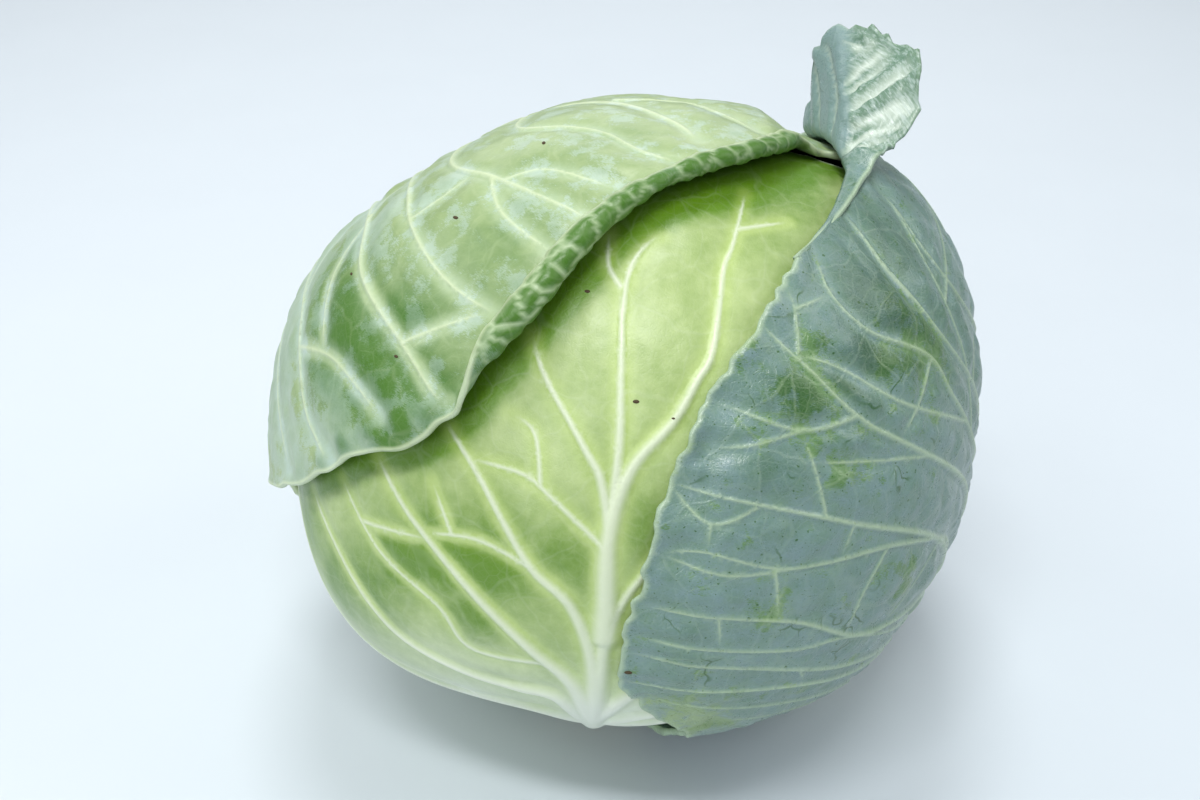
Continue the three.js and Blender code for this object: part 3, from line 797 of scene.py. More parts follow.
def right_veins():
    midrib = right_plan.line([(95, -78), (94, -50), (92, -20), (89, 10), (86, 40), (84, 52)])
    veins = [Vein(midrib, (15, 9, 5, 3), (3.2, 2.2, 1.2, 0.8))]
    both = RIGHT_LATERALS + mirrored(RIGHT_LATERALS, RIGHT_MIDRIB, 5)
    veins += laterals(right_plan, both, (2.8, 1.7, 1.2, 0.5), (1.5, 1.1, 0.8, 0.3))
    small = RIGHT_BRANCHES + mirrored(RIGHT_BRANCHES, RIGHT_MIDRIB, 6)
    veins += branches(right_plan, small, (1.2, 0.7), (0.6, 0.25), veins)
    for k in range(FAN_RIBS):
        first = 0.06 + 0.08 * k
        rib = tip_line(np.interp(first, *CREASE), FAN_START + FAN_RIB_GAP * k, first)
        veins.append(Vein(rib, (0.5, 0.9, 0.9), (0.1, 0.1, 0.1)))
    return veins + [Vein(tip_line(*rib), (1.4, 1.0), (0.4, 0.3)) for rib in LOBE_RIBS]


def right_detail(leaf, spots, edge, gap, tip, values):
    """Pleats and the crease of the raised tip, hollows in the leaf and a curl in its front margin."""
    along, out = tip.T
    longitude = np.interp(along * (right_tip.columns - 1), np.arange(right_tip.columns), tip_longitudes)
    raised = within(longitude, *TIP_SIDES) * smooth(out, 0, 0.15)
    past_crease = 0.85 * (np.interp(out, *CREASE) - longitude)
    fan = smooth(past_crease, -0.3, 1.2)
    values["fan"], values["lobe"] = raised * fan, raised * (1 - fan)
    swollen = 2 * smooth(gap, 0, 1.1) + 0.4 * smooth(net(spots, 5, 75), 0, 1.4)
    pleats = raised * (1.5 * fan * (1 - smooth(past_crease, 2, 9)) - lerp(0.35, 1, fan) * swollen)
    middle, middle_out, wide, high = OVAL
    values["oval"] = raised * np.exp(-((longitude - middle) / wide) ** 2 - ((out - middle_out) / high) ** 2)
    hollows = blotches(leaf.plan, spots, [
        (35, 22, 3.5, 1.2), (30, 20, 3, 0.7), (27, -9, 4, 0.6), (20, 11, 3, 0.6)])
    lower_folds = blotches(leaf.plan, spots, [(20, -24, 9, 1), (34, -22, 10, 1)]) * smooth(gap, 0.5, 4)
    curl = blotches(leaf.plan, spots, [(7.5, 11.5, 2.6, 1.7), (3, -5, 2, 0.8)]) * (1 - smooth(edge, 0, 5))
    return pleats - hollows - 0.9 * lower_folds + curl


# ---- left leaf: loose, its free edge rolled back ----

left_plan = Plan(-60, 25)
LEFT_MIDRIB = -127.5
LEFT_EDGE = [
    (-74, -14), (-62, -12), (-50, -7), (-39, 0), (-30, 3), (-25, 8), (-20, 16), (-14, 25), (-9, 34),
    (-2, 42), (8, 48.5), (19, 53), (31, 57), (44, 60.5), (57, 62.5), (70, 61), (84, 54),
]
CORNER_CELLS = [                # swollen spots at the front corner: place, radius in degrees, strength
    (-31.5, 7, 3.4, 1), (-27.5, 9.5, 2.6, 0.9), (-36.5, 5, 2.4, 0.9), (-42, 1.5, 2.2, 0.8), (-47, -2, 2, 0.7),
]
LEFT_NEAR_SIDE = [(-69.5, -78), (-84, -62), (-97, -44), (-99, -30), (-90, -19)]
LEFT_FAR_SIDE = [
    (-185.5, -78), (-200, -60), (-204, -30), (-204, 0), (-206, 25), (-216, 41), (-236, 48), (-258, 50),
    (-278, 50),
]
LEFT_MIDRIB_LINE = [
    (-127.5, -78), (-127, -50), (-126, -20), (-124, 15), (-118, 45), (-60, 74), (-1, 66), (9, 58),
]
LEFT_LATERALS = [
    ([(-126, -8), (-100, 8), (-78, 9), (-66, 1), (-58, -7)], 0.9),
    ([(-126, 0), (-90, 20), (-68, 17), (-60, 11), (-52, 2), (-45, -2)], 1.0),
    ([(-124, 12), (-100, 28), (-80, 34), (-60, 31), (-49, 24), (-35, 17), (-28, 12), (-25, 11)], 1.1),
    ([(-123, 28), (-105, 42), (-80, 44), (-55, 38), (-45, 33), (-35, 28), (-28, 25), (-21, 23)], 1.0),
    ([(-121, 40), (-110, 50), (-80, 54), (-51, 45), (-34, 43), (-23, 41), (-11, 38)], 1.1),
    ([(-114, 52), (-105, 60), (-75, 64), (-47, 57), (-29, 58), (-17, 57), (-6, 53), (4, 51)], 1.1),
    ([(-40, 76), (19, 79), (29, 72), (34, 63)], 0.8),
    ([(-127, -20), (-110, -8), (-98, -4), (-88, -12), (-80, -15)], 0.8),
]
LEFT_BRANCHES = [
    ([(-60, 11), (-48, 12), (-36, 7)], 0.9), ([(-60, 30), (-58, 22), (-51, 13)], 0.8),
    ([(-35, 18), (-24, 19)], 0.8), ([(-23, 25), (-18, 27)], 0.7), ([(-25, 24), (-24, 19)], 0.7),
    ([(-34, 43), (-27, 37), (-15, 32)], 0.9), ([(-30, 44), (-24, 46), (-9, 44)], 0.8),
    ([(-6, 53), (-2, 47)], 0.8), ([(-45, 33), (-42, 38), (-40, 44)], 0.7),
    ([(-60, 31), (-66, 36), (-62, 44)], 0.7), ([(-68, 17), (-72, 24), (-70, 32)], 0.7),
]
ROLL_LENGTHS = ((0.38, 0.46, 0.56, 0.64, 0.8), (12, 13, 12, 8.5, 9.5))      # shares of the edge, and lengths
ROLL_ROWS = 14                  # of the strip, from the edge to its rolled-in rim

left_edge = moved_aside(left_plan.line(LEFT_EDGE), ROLL_INSET)[::-1]
left_near = frayed(through(np.vstack([left_plan.place(LEFT_NEAR_SIDE), left_edge[-1:]]), RIM_STEP), 4, 1, 41)
left_base = left_plan.line(base_places(LEFT_MIDRIB))
left_far = frayed(left_plan.line(LEFT_FAR_SIDE), 4, 1, 42)
left_outline = joined(left_edge, left_near[::-1], left_base[::-1], left_far)


def roll_strength(share):
    """How fully the edge is rolled at shares of its length from the front corner."""
    return within(share, *ROLL_GROWS, *ROLL_FADES)


def left_rise(spots, edge):
    """Stands off the head, except under the right leaf and under the head."""
    directions = left_plan.to_direction(spots)
    other = right_plan.from_direction(directions)
    gap = nearest_on(ring(right_outline), other)[0] * ~inside(right_outline, other)
    above = smooth(head_surface(directions, 0)[0][:, 2], *LIFT_HEIGHTS)
    return lerp(LOOSE_LIFT_AT_FLOOR, LOOSE_LIFT, above) * smooth((gap - LIFT_START) / LIFT_RUN)


def left_strip():
    """The free edge, rolled back on itself in its middle."""
    line = left_edge
    share = 1 - lengths_along(line) / lengths_along(line)[-1]
    strength = roll_strength(share)
    outward = sides(line)[1]
    reach = lerp(ROLL_SHORT, np.interp(share, *ROLL_LENGTHS), strength) + 0.7 * ripple(line, 5, 43)
    full_angle = np.radians(lerp(ROLL_SLIGHT, ROLL_ANGLE, strength))

    def angle_at(length):
        return full_angle * smooth(length / np.maximum(reach, 6))

    return Strip(line, outward, reach, ROLL_ROWS, angle_at)


left_roll = left_strip()


def left_veins():
    veins = [Vein(left_plan.line(LEFT_MIDRIB_LINE), (15, 9, 5, 2.6, 1.4), (3.2, 2, 1.2, 0.7, 0.4))]
    rows = LEFT_LATERALS + mirrored(LEFT_LATERALS[:6], LEFT_MIDRIB, 8)
    veins += laterals(left_plan, rows, (2.2, 1.4, 1.1, 0.7), (1.2, 0.8, 0.6, 0.3))
    small = LEFT_BRANCHES + mirrored(LEFT_BRANCHES, LEFT_MIDRIB, 9)
    return veins + branches(left_plan, small, (1.1, 0.6), (0.4, 0.15), veins)


def left_detail(leaf, spots, edge, gap, tip, values):
    """Swollen cells: on the inner side of the rolled edge, and on the outer side by the front corner."""
    along = 1 - tip[:, 0]
    wall = net(spots, 6, 71)
    rolled = smooth(tip[:, 1], 0.05, 0.3) * roll_strength(along)
    corner = blotches(leaf.plan, spots, CORNER_CELLS) * (1 - smooth(edge, 9, 16))
    values["walls"] = (1 - smooth(wall, 0.1, 0.8)) * rolled * lerp(1, 0.6, smooth(along, 0.5, 0.6))
    values["rolled"] = np.maximum(rolled, corner)
    lip = 0.7 * ripple(spots, 9, 73) * (1 - smooth(edge, 0, 5)) * (1 - rolled)
    return 1.5 * corner * (1 - rolled) + lip - 0.5 * smooth(wall, 0, 2.4) * rolled


# ---- leaves that hug the head ----

# Their outline and the hidden leaves' veins are given as degrees aside of the midrib, and a latitude.
HUGGING_SIDE = [(BASE_HALF_WIDTH, BASE_LATITUDE), (84, -58), (98, -28), (97, 6), (84, 48)]
HUGGING_TOP = [(-84, 48), (-60, 64), (-28, 71), (0, 73), (28, 71), (60, 65), (84, 48)]
FRONT_LONGITUDE = -2
SIDE_LONGITUDE = -75
BACK_LONGITUDE = 147.5
FRONT_MIDRIB_LINE = [
    (-2, -78), (-1, -60), (-1, -39), (-1, -20), (-2, -10), (-2, 8), (-3, 18), (-4, 26), (-5, 31),
]
FRONT_LATERALS = [
    ([(-1, -44), (-2, -27), (-6, -16), (-12, -11), (-16, -6), (-22, 2), (-28, 8)], 1.15),
    ([(-1, -20), (-2, -4), (-4, 4), (-6, 7), (-9, 11), (-14, 17), (-17, 22)], 1.0),
    ([(-1, -46), (-5, -32), (-12, -25), (-20, -18), (-28, -11), (-34, -6), (-40, 0)], 1.2),
    ([(-2, -50), (-8, -37), (-16, -36), (-26, -35), (-37, -31), (-43, -26), (-50, -18), (-58, -11)], 1.1),
    ([(-3, -56), (-14, -47), (-30, -48), (-45, -46), (-56, -39), (-67, -28), (-72, -14)], 1.1),
    ([(-4, -62), (-20, -56), (-45, -56), (-66, -48), (-80, -34), (-86, -18)], 1.0),
    ([(-1, -16), (-2, -4), (0, 6), (5, 13), (8, 19), (10, 23), (12, 35), (14, 39), (16, 43), (21, 51)], 0.85),
    ([(-1, -36), (-1, -26), (0, -18), (1, -14), (3, -10), (8, -2), (14, 6)], 0.9),
    ([(-1, -46), (4, -34), (12, -24), (24, -14), (36, -4), (46, 6)], 1.0),
    ([(-1, -52), (8, -42), (24, -34), (42, -24), (58, -12)], 1.0),
    ([(0, -58), (14, -50), (36, -44), (58, -32), (74, -18)], 1.0),
]
FRONT_BRANCHES = [
    ([(-5, -6), (-10, 0), (-15, 3), (-20, 7)], 1.0), ([(-11, 3), (-14, 9), (-18, 11)], 0.9),
    ([(-14, -11), (-21, -8), (-29, -8)], 0.9), ([(-26, -6), (-29, -1)], 0.8),
    ([(-11, -30), (-23, -28), (-28, -21), (-37, -16), (-41, -13), (-48, -6)], 1.0),
    ([(-41, -10), (-30, -11)], 0.8), ([(10, 24), (16, 28)], 0.9), ([(14, 39), (10, 42)], 0.8),
    ([(17, 43), (29, 45)], 0.9), ([(-4, 26), (-4, 34), (-1, 39), (1, 40)], 1.0),
    ([(-5, 31), (-7, 33), (-8, 35), (-9, 40)], 1.0), ([(-5, 33), (-5, 38)], 0.8),
    ([(-56, -39), (-62, -34), (-70, -34)], 0.8), ([(-30, -48), (-40, -42), (-52, -38)], 0.8),
]
HIDDEN_LATERALS = [
    ([(0, -60), (20, -44), (44, -26), (62, -6)], 1.2), ([(0, -40), (18, -20), (40, 2), (54, 20)], 1.1),
    ([(0, -16), (14, 4), (32, 24), (44, 40)], 1.0), ([(0, 8), (10, 26), (22, 44)], 0.8),
]


def hugging_outline(plan, longitude):
    """The outline of a leaf that hugs the head, with its midrib at a longitude."""
    def margin(places, seed, side=1):
        line = plan.line([(longitude + side * aside, latitude) for aside, latitude in places])
        return frayed(line, 5, 0.8, seed)

    far, near, top = margin(HUGGING_SIDE, 51), margin(HUGGING_SIDE, 52, -1), margin(HUGGING_TOP, 53)
    return joined(plan.line(base_places(longitude)), far, top[::-1], near[::-1])


def front_veins(plan):
    midrib = plan.line(FRONT_MIDRIB_LINE)
    veins = [Vein(midrib, (16, 11, 6, 3.6, 2.6, 1.9, 1.1), (4.9, 3.6, 2.2, 1.3, 0.8, 0.5, 0.2))]
    veins += laterals(plan, FRONT_LATERALS, (6, 2.9, 1.5, 0.9), (2.1, 1.1, 0.5, 0.1))
    return veins + branches(plan, FRONT_BRANCHES, (1.3, 0.7), (0.3, 0.1), veins)


def hidden_veins(plan, longitude):
    midrib = plan.line([(longitude, latitude) for latitude in (-78, -50, -20, 10, 40)])
    rows = [([(longitude + side * aside, latitude) for aside, latitude in places], size)
            for places, size in HIDDEN_LATERALS for side in (1, -1)]
    return [Vein(midrib, (12, 2), (0.4, 0.1))] + laterals(plan, rows, (2.4, 1), (0.3, 0.1))


# ---- finishes ----

def linear(code):
    """A colour code such as "a0b0c0" as the linear colour that a shader takes."""
    parts = [int(code[k:k + 2], 16) / 255 for k in (0, 2, 4)]
    return [p / 12.92 if p <= 0.04045 else ((p + 0.055) / 1.055) ** 2.4 for p in parts] + [1]


def operator(operation, reflected=False):
    """The method behind a sign such as +. The reflected form is for a plain number on the left."""
    def apply(self, other):
        first, second = (other, self) if reflected else (self, other)
        return self.maths(operation, first, second)
    return apply


class Number:
    """A number that varies over a surface, so that shader maths is written as an expression."""

    def __init__(self, finish, socket):
        self.finish, self.socket = finish, socket

    def maths(self, operation, first, second, clamp=False):
        settings = {"operation": operation, "use_clamp": clamp}
        node = self.finish.node("ShaderNodeMath", settings, {0: first, 1: second})
        return Number(self.finish, node.outputs[0])

    __add__ = operator("ADD")
    __radd__ = operator("ADD", reflected=True)
    __sub__ = operator("SUBTRACT")
    __rsub__ = operator("SUBTRACT", reflected=True)
    __mul__ = operator("MULTIPLY")
    __rmul__ = operator("MULTIPLY", reflected=True)
    most = operator("MAXIMUM")

    def clamped(self):
        """The same, kept between 0 and 1."""
        return self.maths("ADD", self, 0, clamp=True)

    def between(self, low, high):
        """0 below low, 1 above high and smooth between them."""
        settings = {"interpolation_type": "SMOOTHSTEP", "clamp": True}
        inputs = {"Value": self, "From Min": low, "From Max": high, "To Min": 0, "To Max": 1}
        return Number(self.finish, self.finish.node("ShaderNodeMapRange", settings, inputs).outputs[0])


class Finish:
    """A material under construction. Its patterns lie on the piece's plan, or in the object's space where
    on_plan is false. Sizes are millimetres."""

    def __init__(self, name, on_plan=True, **constants):
        self.material = bpy.data.materials.new(name)
        self.material.use_nodes = True
        self.tree = self.material.node_tree
        self.shader = self.tree.nodes["Principled BSDF"]
        for key, value in constants.items():
            self.shader.inputs[key.replace("_", " ")].default_value = value
        self.place = self.node("ShaderNodeUVMap", {"uv_map": "plan"}).outputs[0] if on_plan else (
            self.node("ShaderNodeTexCoord").outputs["Object"])
        self.unit = PLAN_UNIT if on_plan else 1 / MILLIMETRE

    def node(self, kind, settings=None, inputs=None):
        node = self.tree.nodes.new(kind)
        for key, value in (settings or {}).items():
            setattr(node, key, value)
        for key, value in (inputs or {}).items():
            self.fill(node.inputs[key], value)
        return node

    def fill(self, socket, value):
        """Links a socket, or sets it to a number, a vector or a colour code."""
        if isinstance(value, Number):
            self.tree.links.new(value.socket, socket)
        elif isinstance(value, bpy.types.NodeSocket):
            self.tree.links.new(value, socket)
        else:
            socket.default_value = linear(value) if isinstance(value, str) else value

    def attribute(self, name):
        return Number(self, self.node("ShaderNodeAttribute", {"attribute_name": name}).outputs["Fac"])

    def noise(self, size, detail=2.0, roughness=0.5, stretch=(1, 1, 1)):
        """Noise from 0 to 1 whose bumps are about a size across."""
        place = self.node("ShaderNodeMapping", None, {"Vector": self.place, "Scale": stretch}).outputs[0]
        inputs = {"Vector": place, "Scale": self.unit / size, "Detail": detail, "Roughness": roughness}
        return Number(self, self.node("ShaderNodeTexNoise", None, inputs).outputs[0])

    def vector_maths(self, operation, first, other):
        """The other input is a vector, or for SCALE a number."""
        inputs = {0: first, "Scale" if operation == "SCALE" else 1: other}
        return self.node("ShaderNodeVectorMath", {"operation": operation}, inputs).outputs[0]

    def warped(self, size, amount):
        """The place moved about by noise, by an amount."""
        inputs = {"Vector": self.place, "Scale": self.unit / size, "Detail": 1}
        cloud = self.node("ShaderNodeTexNoise", None, inputs).outputs[1]
        middle = self.vector_maths("SUBTRACT", cloud, (0.5, 0.5, 0.5))
        moved = self.vector_maths("SCALE", middle, 2 * amount / self.unit)
        return self.vector_maths("ADD", self.place, moved)

    def cell_walls(self, size, width, place=None):
        """1 on the walls of a net of cells of a size, with walls of a width."""
        inputs = {"Vector": place or self.place, "Scale": self.unit / size, "Randomness": 0.95}
        walls = self.node("ShaderNodeTexVoronoi", {"feature": "DISTANCE_TO_EDGE"}, inputs)
        return 1 - Number(self, walls.outputs["Distance"]).between(0.2 * width / size, 1.2 * width / size)

    def mix(self, a, b, share):
        """From colour a to colour b."""
        return self.node("ShaderNodeMix", {"data_type": "RGBA"}, {0: share, 6: a, 7: b}).outputs[2]

    def done(self, colour, roughness, height=None, depth=0.2):
        """Connects the colour, the roughness and a height in units of depth."""
        self.fill(self.shader.inputs["Base Color"], colour)
        self.fill(self.shader.inputs["Roughness"], roughness)
        if height is not None:
            inputs = {"Height": height, "Strength": 1, "Distance": depth * MILLIMETRE}
            self.fill(self.shader.inputs["Normal"], self.node("ShaderNodeBump", None, inputs).outputs[0])
        return self.material


def leaf_finish(name, deep, light, lime, rib, pale, gloss, nets, bloom=None, waxy=0, rib_wax=0, marked=0,
                **constants):
    """Leaf tissue: deep to light green in mottles, lime beside the ribs, a pale base, nets of fine veins
    and a waxy bloom that is rubbed away in places. Gives the finish, its colour, height and roughness."""
    finish = Finish(name, **constants)
    vein, halo, margin, dark, whitish = (
        finish.attribute(key) for key in ("vein", "halo", "margin", "dark", "whitish"))
    cloud = finish.noise(16, 3, 0.6)
    mottle = finish.noise(3.2, 3, 0.6)
    grain = finish.noise(0.5, 2, 0.6)
    wide_net = finish.cell_walls(15, 0.4, finish.warped(8, 2.4))
    small_net = finish.cell_walls(4.4, 0.22, finish.warped(4, 0.8))
    tiny_net = finish.cell_walls(1.2, 0.14)
    net_mix = ((wide_net * 0.5).most(small_net * 0.3).most(tiny_net * 0.12) * (0.5 + mottle) * nets).clamped()

    # dark deepens the green and below thins the bloom: it carries deep green tissue, and on the front and
    # right leaves painted shade as well.
    tone = 0.6 + (cloud - 0.5) * 0.7 + (mottle - 0.5) * 0.4 - dark * 0.95
    green = finish.mix(deep, light, tone.clamped())
    green = finish.mix(green, lime, (halo * 0.36 * (0.4 + cloud)).clamped())
    green = finish.mix(green, pale, (whitish * (0.9 + (mottle - 0.5) * 0.5)).clamped())
    green = finish.mix(green, rib, net_mix)
    if waxy:
        bare = finish.attribute("bare")
        wear = finish.noise(8, 4, 0.65)
        scratches = finish.noise(0.9, 2, 0.7, stretch=(1, 6, 1))
        rubbed = (wear + (scratches - 0.5) * 0.45 + (bare - 0.5) * 0.5).between(0.59, 0.66)
        patches = finish.noise(5, 3, 0.6)
        clouded = 0.8 + (cloud - 0.5) * 0.6 + (patches - 0.5) * 0.9 + (grain - 0.5) * 0.45
        film = waxy * clouded * (1 - dark * 0.75) * (1 - rubbed * 0.85)
        beside_ribs = halo * rib_wax * (0.2 + patches * 1.4) * (1 - bare * 0.4)
        green = finish.mix(green, bloom, (film + beside_ribs).clamped())
    if marked:
        dots = finish.noise(0.9, 1, 0.5).between(0.68, 0.74)
        wrinkles = finish.cell_walls(11, 0.3, finish.warped(5, 3))
        wrinkles = wrinkles * finish.noise(13).between(0.55, 0.68)
        green = finish.mix(green, deep, (dots.most(wrinkles) * marked).clamped())
    green = finish.mix(green, rib, (vein * (0.62 + whitish * 0.3) + margin * 0.6).clamped())
    height = (mottle - 0.5) * 0.5 + grain * 0.2 - tiny_net * 0.1 + (wide_net * 0.5 - small_net * 0.25) * nets
    rough = (gloss + (mottle - 0.5) * 0.2 + (grain - 0.5) * 0.12).clamped()
    return finish, green, height, rough


# ---- colour of each leaf over its plan ----

# A finish reads dark for deep green tissue and for painted shade, whitish for pale tissue, and bare for where
# the bloom is rubbed away.

def off_ribs(values, end):
    """0 beside the ribs and 1 away from them."""
    return smooth(1 - values["halo"], 0, end)


def front_colour(leaf, spots, values):
    """Deep green in blotches between the ribs, painted shade along the left leaf's edge and in the recess by
    the raised tip, and a whitish base.
    """
    # Most blotches are deep green tissue; those at (33, 51) and (20, 42), in the recess under the left leaf's
    # rim by the raised tip, are painted shade.
    dark = blotches(leaf.plan, spots, [
        (-19, -11, 8, 0.75), (-27, -12, 8, 0.85), (-35, -15, 7, 0.75), (-42, -22, 8, 0.65), (-8, -8, 5, 0.55),
        (-22, -20, 6, 0.6), (3, -3, 5, 0.5), (-52, -26, 9, 0.6), (33, 51, 8, 0.5), (20, 42, 6, 0.25),
        (-30, 2, 6, 0.25), (-62, -18, 9, 0.5)])
    longitude, latitude = places_of(leaf.plan, spots)
    # Painted shadow: the leaf goes deep green in a band along the left leaf's edge, wider towards the raised
    # tip, where the rolled edge overhangs it.
    beyond = nearest_on(leaf.plan.from_direction(left_plan.to_direction(left_edge)), spots)[0]
    shaded = 1 - smooth(beyond, 4, lerp(12, 24, smooth(longitude, 0, 30)))
    base = smooth(-latitude, 20, 42)
    middle = blotches(leaf.plan, spots, [(-1, -54, 14, 0.95), (-1, -42, 8, 0.7)])
    whitish = np.maximum(base * (0.62 + 0.25 * ripple(spots, 12, 61)), middle)
    return {"dark": np.maximum(dark * off_ribs(values, 0.7), shaded), "whitish": np.clip(whitish, 0, 1)}


def left_colour(leaf, spots, values):
    """Deep glossy green in the middle of the shown side and in the swollen cells."""
    rolled = values.pop("rolled")
    dark = blotches(leaf.plan, spots, [
        (-38, 14, 11, 1.0), (-48, 16, 10, 1.0), (-29, 11, 8, 0.7), (-34, 4, 4, 0.8), (-56, 20, 9, 0.6),
        (-24, 30, 10, 0.3), (-70, 5, 8, 0.3)])
    films = blotches(leaf.plan, spots, [
        (-72, 4, 12, 0.8), (-60, -3, 8, 0.5), (-44, 2, 8, 0.4), (-78, 25, 12, 0.7), (-55, 30, 6, 0.3),
        (-32, 8, 4, 0.4)])
    bare = np.maximum(0.85 - films + 0.15 * ripple(spots, 6, 81), rolled)
    dark = np.maximum(dark * off_ribs(values, 0.7), rolled)
    return {"dark": dark, "whitish": np.zeros(len(spots)), "bare": np.clip(bare, 0, 1)}


def right_colour(leaf, spots, values):
    """Deep green in blotches that are partly deep green tissue and partly painted shade in the hollows and
    under the raised tip, a pale lower corner, and where the bloom is rubbed away.
    """
    # Painted shade: the strongest blotches, about (30, 19) to (45, 40), darken the hollows and the leaf under
    # the raised tip.
    dark = blotches(leaf.plan, spots, [
        (23, 17, 6, 0.5), (18, 9, 5, 0.4), (40, 27, 8, 0.6), (34, 23, 5, 0.9), (13, -19, 6, 0.25),
        (60, 20, 12, 0.35), (30, 19, 5, 0.9), (45, 40, 9, 0.6), (38, 31, 8, 0.7), (50, 26, 7, 0.4)])
    dark = np.maximum(dark, values.pop("oval"))
    whitish = blotches(leaf.plan, spots, [(15, -36, 8, 0.6), (8, -34, 5, 0.6), (30, -44, 12, 0.5)])
    bare = 0.44 + blotches(leaf.plan, spots, [
        (23, 18, 7, 0.5), (45, 24, 8, 0.5), (30, 8, 5, 0.35), (16, -36, 8, 0.5), (44, -12, 6, 0.3),
        (22, -12, 4, 0.3)])
    return {"dark": dark * off_ribs(values, 0.6), "whitish": whitish, "bare": bare}


def hidden_colour(leaf, spots, values):
    """No deep green, and paler towards the base."""
    latitude = places_of(leaf.plan, spots)[1]
    return {"dark": np.zeros(len(spots)), "whitish": smooth(-latitude, 5, 50)}


# ---- finishes of the pieces ----

def front_finish():
    finish, green, height, rough = leaf_finish(
        "front leaf", deep="5a830e", light="c3d496", lime="bcd472", rib="e2e8da", pale="dde5d8", gloss=0.4,
        nets=0.12, Coat_Weight=0.22, Coat_Roughness=0.32)
    return finish.done(green, rough, height, 0.12)


def left_finish():
    finish, green, height, rough = leaf_finish(
        "left leaf", deep="426f14", light="a7b981", lime="abc178", rib="cfdbb6", pale="dfe8d0",
        bloom="b3c8c2", waxy=0.6, rib_wax=0.35, gloss=0.38, nets=0.14)
    green = finish.mix(green, "c3d6ae", (finish.attribute("walls") * 0.62).clamped())
    return finish.done(green, rough, height, 0.12)


def right_finish():
    """The raised tip is greener, with a speckle and white ribs on its pleated fan."""
    finish, green, height, rough = leaf_finish(
        "right leaf", deep="2b5518", light="5f8646", lime="86a86c", rib="b4c9a6", pale="b4c88c",
        bloom="7a929b", waxy=0.78, gloss=0.3, marked=0.8, nets=0.4)
    fan, lobe, dark, vein = (finish.attribute(key) for key in ("fan", "lobe", "dark", "vein"))
    speckle = finish.noise(1.1, 3, 0.7).between(0.44, 0.62)
    green = finish.mix(green, "80999a", (lobe * 0.7).clamped())
    green = finish.mix(green, "5f8068", (fan * 0.85 * (1 - dark)).clamped())
    green = finish.mix(green, "b9cac6", (fan * speckle * 0.5 * (1 - dark)).clamped())
    green = finish.mix(green, "dfe9de", (fan.most(lobe * 0.4) * vein * 0.7).clamped())
    return finish.done(green, rough, height, 0.25)


def hidden_finish():
    finish, green, height, rough = leaf_finish(
        "inner leaf", deep="7fa745", light="c9dea2", lime="c2da86", rib="e6edd6", pale="e9efdc", gloss=0.35,
        nets=0.4)
    return finish.done(green, rough, height, 0.15)


def heart_finish():
    finish = Finish("inner leaves", on_plan=False, Coat_Weight=0.2)
    cloud = finish.noise(14, 3, 0.6)
    mottle = finish.noise(2.5, 3, 0.6)
    colour = finish.mix("cfe0a0", "eef2d8", (cloud + (mottle - 0.5) * 0.4).clamped())
    return finish.done(colour, 0.35 + (mottle - 0.5) * 0.2, mottle, 0.15)


def stump_finish():
    finish = Finish("cut stalk", on_plan=False, Specular_IOR_Level=0.4)
    fibres = finish.noise(1.2, 4, 0.7)
    patches = finish.noise(6, 3, 0.6)
    pale = finish.mix("c9c48f", "e2dfbf", fibres)
    colour = finish.mix(pale, "8f7a4a", patches.between(0.52, 0.75) * 0.7)
    return finish.done(colour, 0.6 + (fibres - 0.5) * 0.3, fibres, 0.3)


def soil_finish():
    finish = Finish("soil", on_plan=False)
    grain = finish.noise(0.4, 3, 0.7)
    return finish.done(finish.mix("2a2114", "5a4a2c", grain), 0.8 + (grain - 0.5) * 0.2, grain, 0.1)


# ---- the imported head, the stump and the specks ----

def add_heart():
    """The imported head: a ball of inner leaves whose edges overlap."""
    bpy.ops.object.select_all(action="DESELECT")
    bpy.ops.mesh.primitive_uv_sphere_add(segments=128, ring_count=64, radius=1)
    heart = bpy.context.object
    heart.name = "heart_dressed"
    directions = np.array([vertex.co for vertex in heart.data.vertices])
    longitude = np.arctan2(directions[:, 0], -directions[:, 1])
    share = (longitude / (2 * math.pi) * HEART_LEAVES + HEART_TWIST * directions[:, 2]) % 1
    overlap = share * (1 - smooth(share, HEART_EDGE, 1)) * smooth(1 - np.abs(directions[:, 2]), 0, 0.1)
    base, normals = head_surface(directions, 0)
    points = base + normals * lerp(*HEART_HEIGHTS, overlap)[:, None]
    heart.data.vertices.foreach_set("co", (points * MILLIMETRE).ravel())
    bpy.ops.object.shade_smooth()
    return heart


def add_stump():
    """The cut end of the stalk, its rim rounded and its cut face a little hollow."""
    bpy.ops.object.select_all(action="DESELECT")
    low, high = (end * MILLIMETRE for end in STUMP_ENDS)
    bpy.ops.mesh.primitive_cylinder_add(vertices=64, radius=STUMP_RADIUS * MILLIMETRE, depth=high - low)
    stump = bpy.context.object
    stump.name = "stem_dressed"
    rounding = stump.modifiers.new("rounding", "BEVEL")
    rounding.width = STUMP_ROUND * MILLIMETRE
    rounding.segments = 3
    bpy.ops.object.modifier_apply(modifier="rounding")
    for face in stump.data.polygons:
        face.select = face.normal.z < -0.99
    bpy.ops.object.mode_set(mode="EDIT")
    bpy.ops.mesh.select_mode(type="FACE")
    for inset, rise in STUMP_RINGS:
        bpy.ops.mesh.inset(thickness=inset * MILLIMETRE)
        bpy.ops.transform.translate(value=(0, 0, rise * MILLIMETRE))
    bpy.ops.object.mode_set(mode="OBJECT")
    bpy.ops.object.shade_smooth_by_angle(angle=math.radians(40))
    along = Matrix.Translation((0, 0, (low + high) / 2))
    centre = Matrix.Translation(Vector(head_centre * MILLIMETRE))
    stump.data.transform(centre @ Matrix(head_turn).to_4x4() @ along)
    return stump


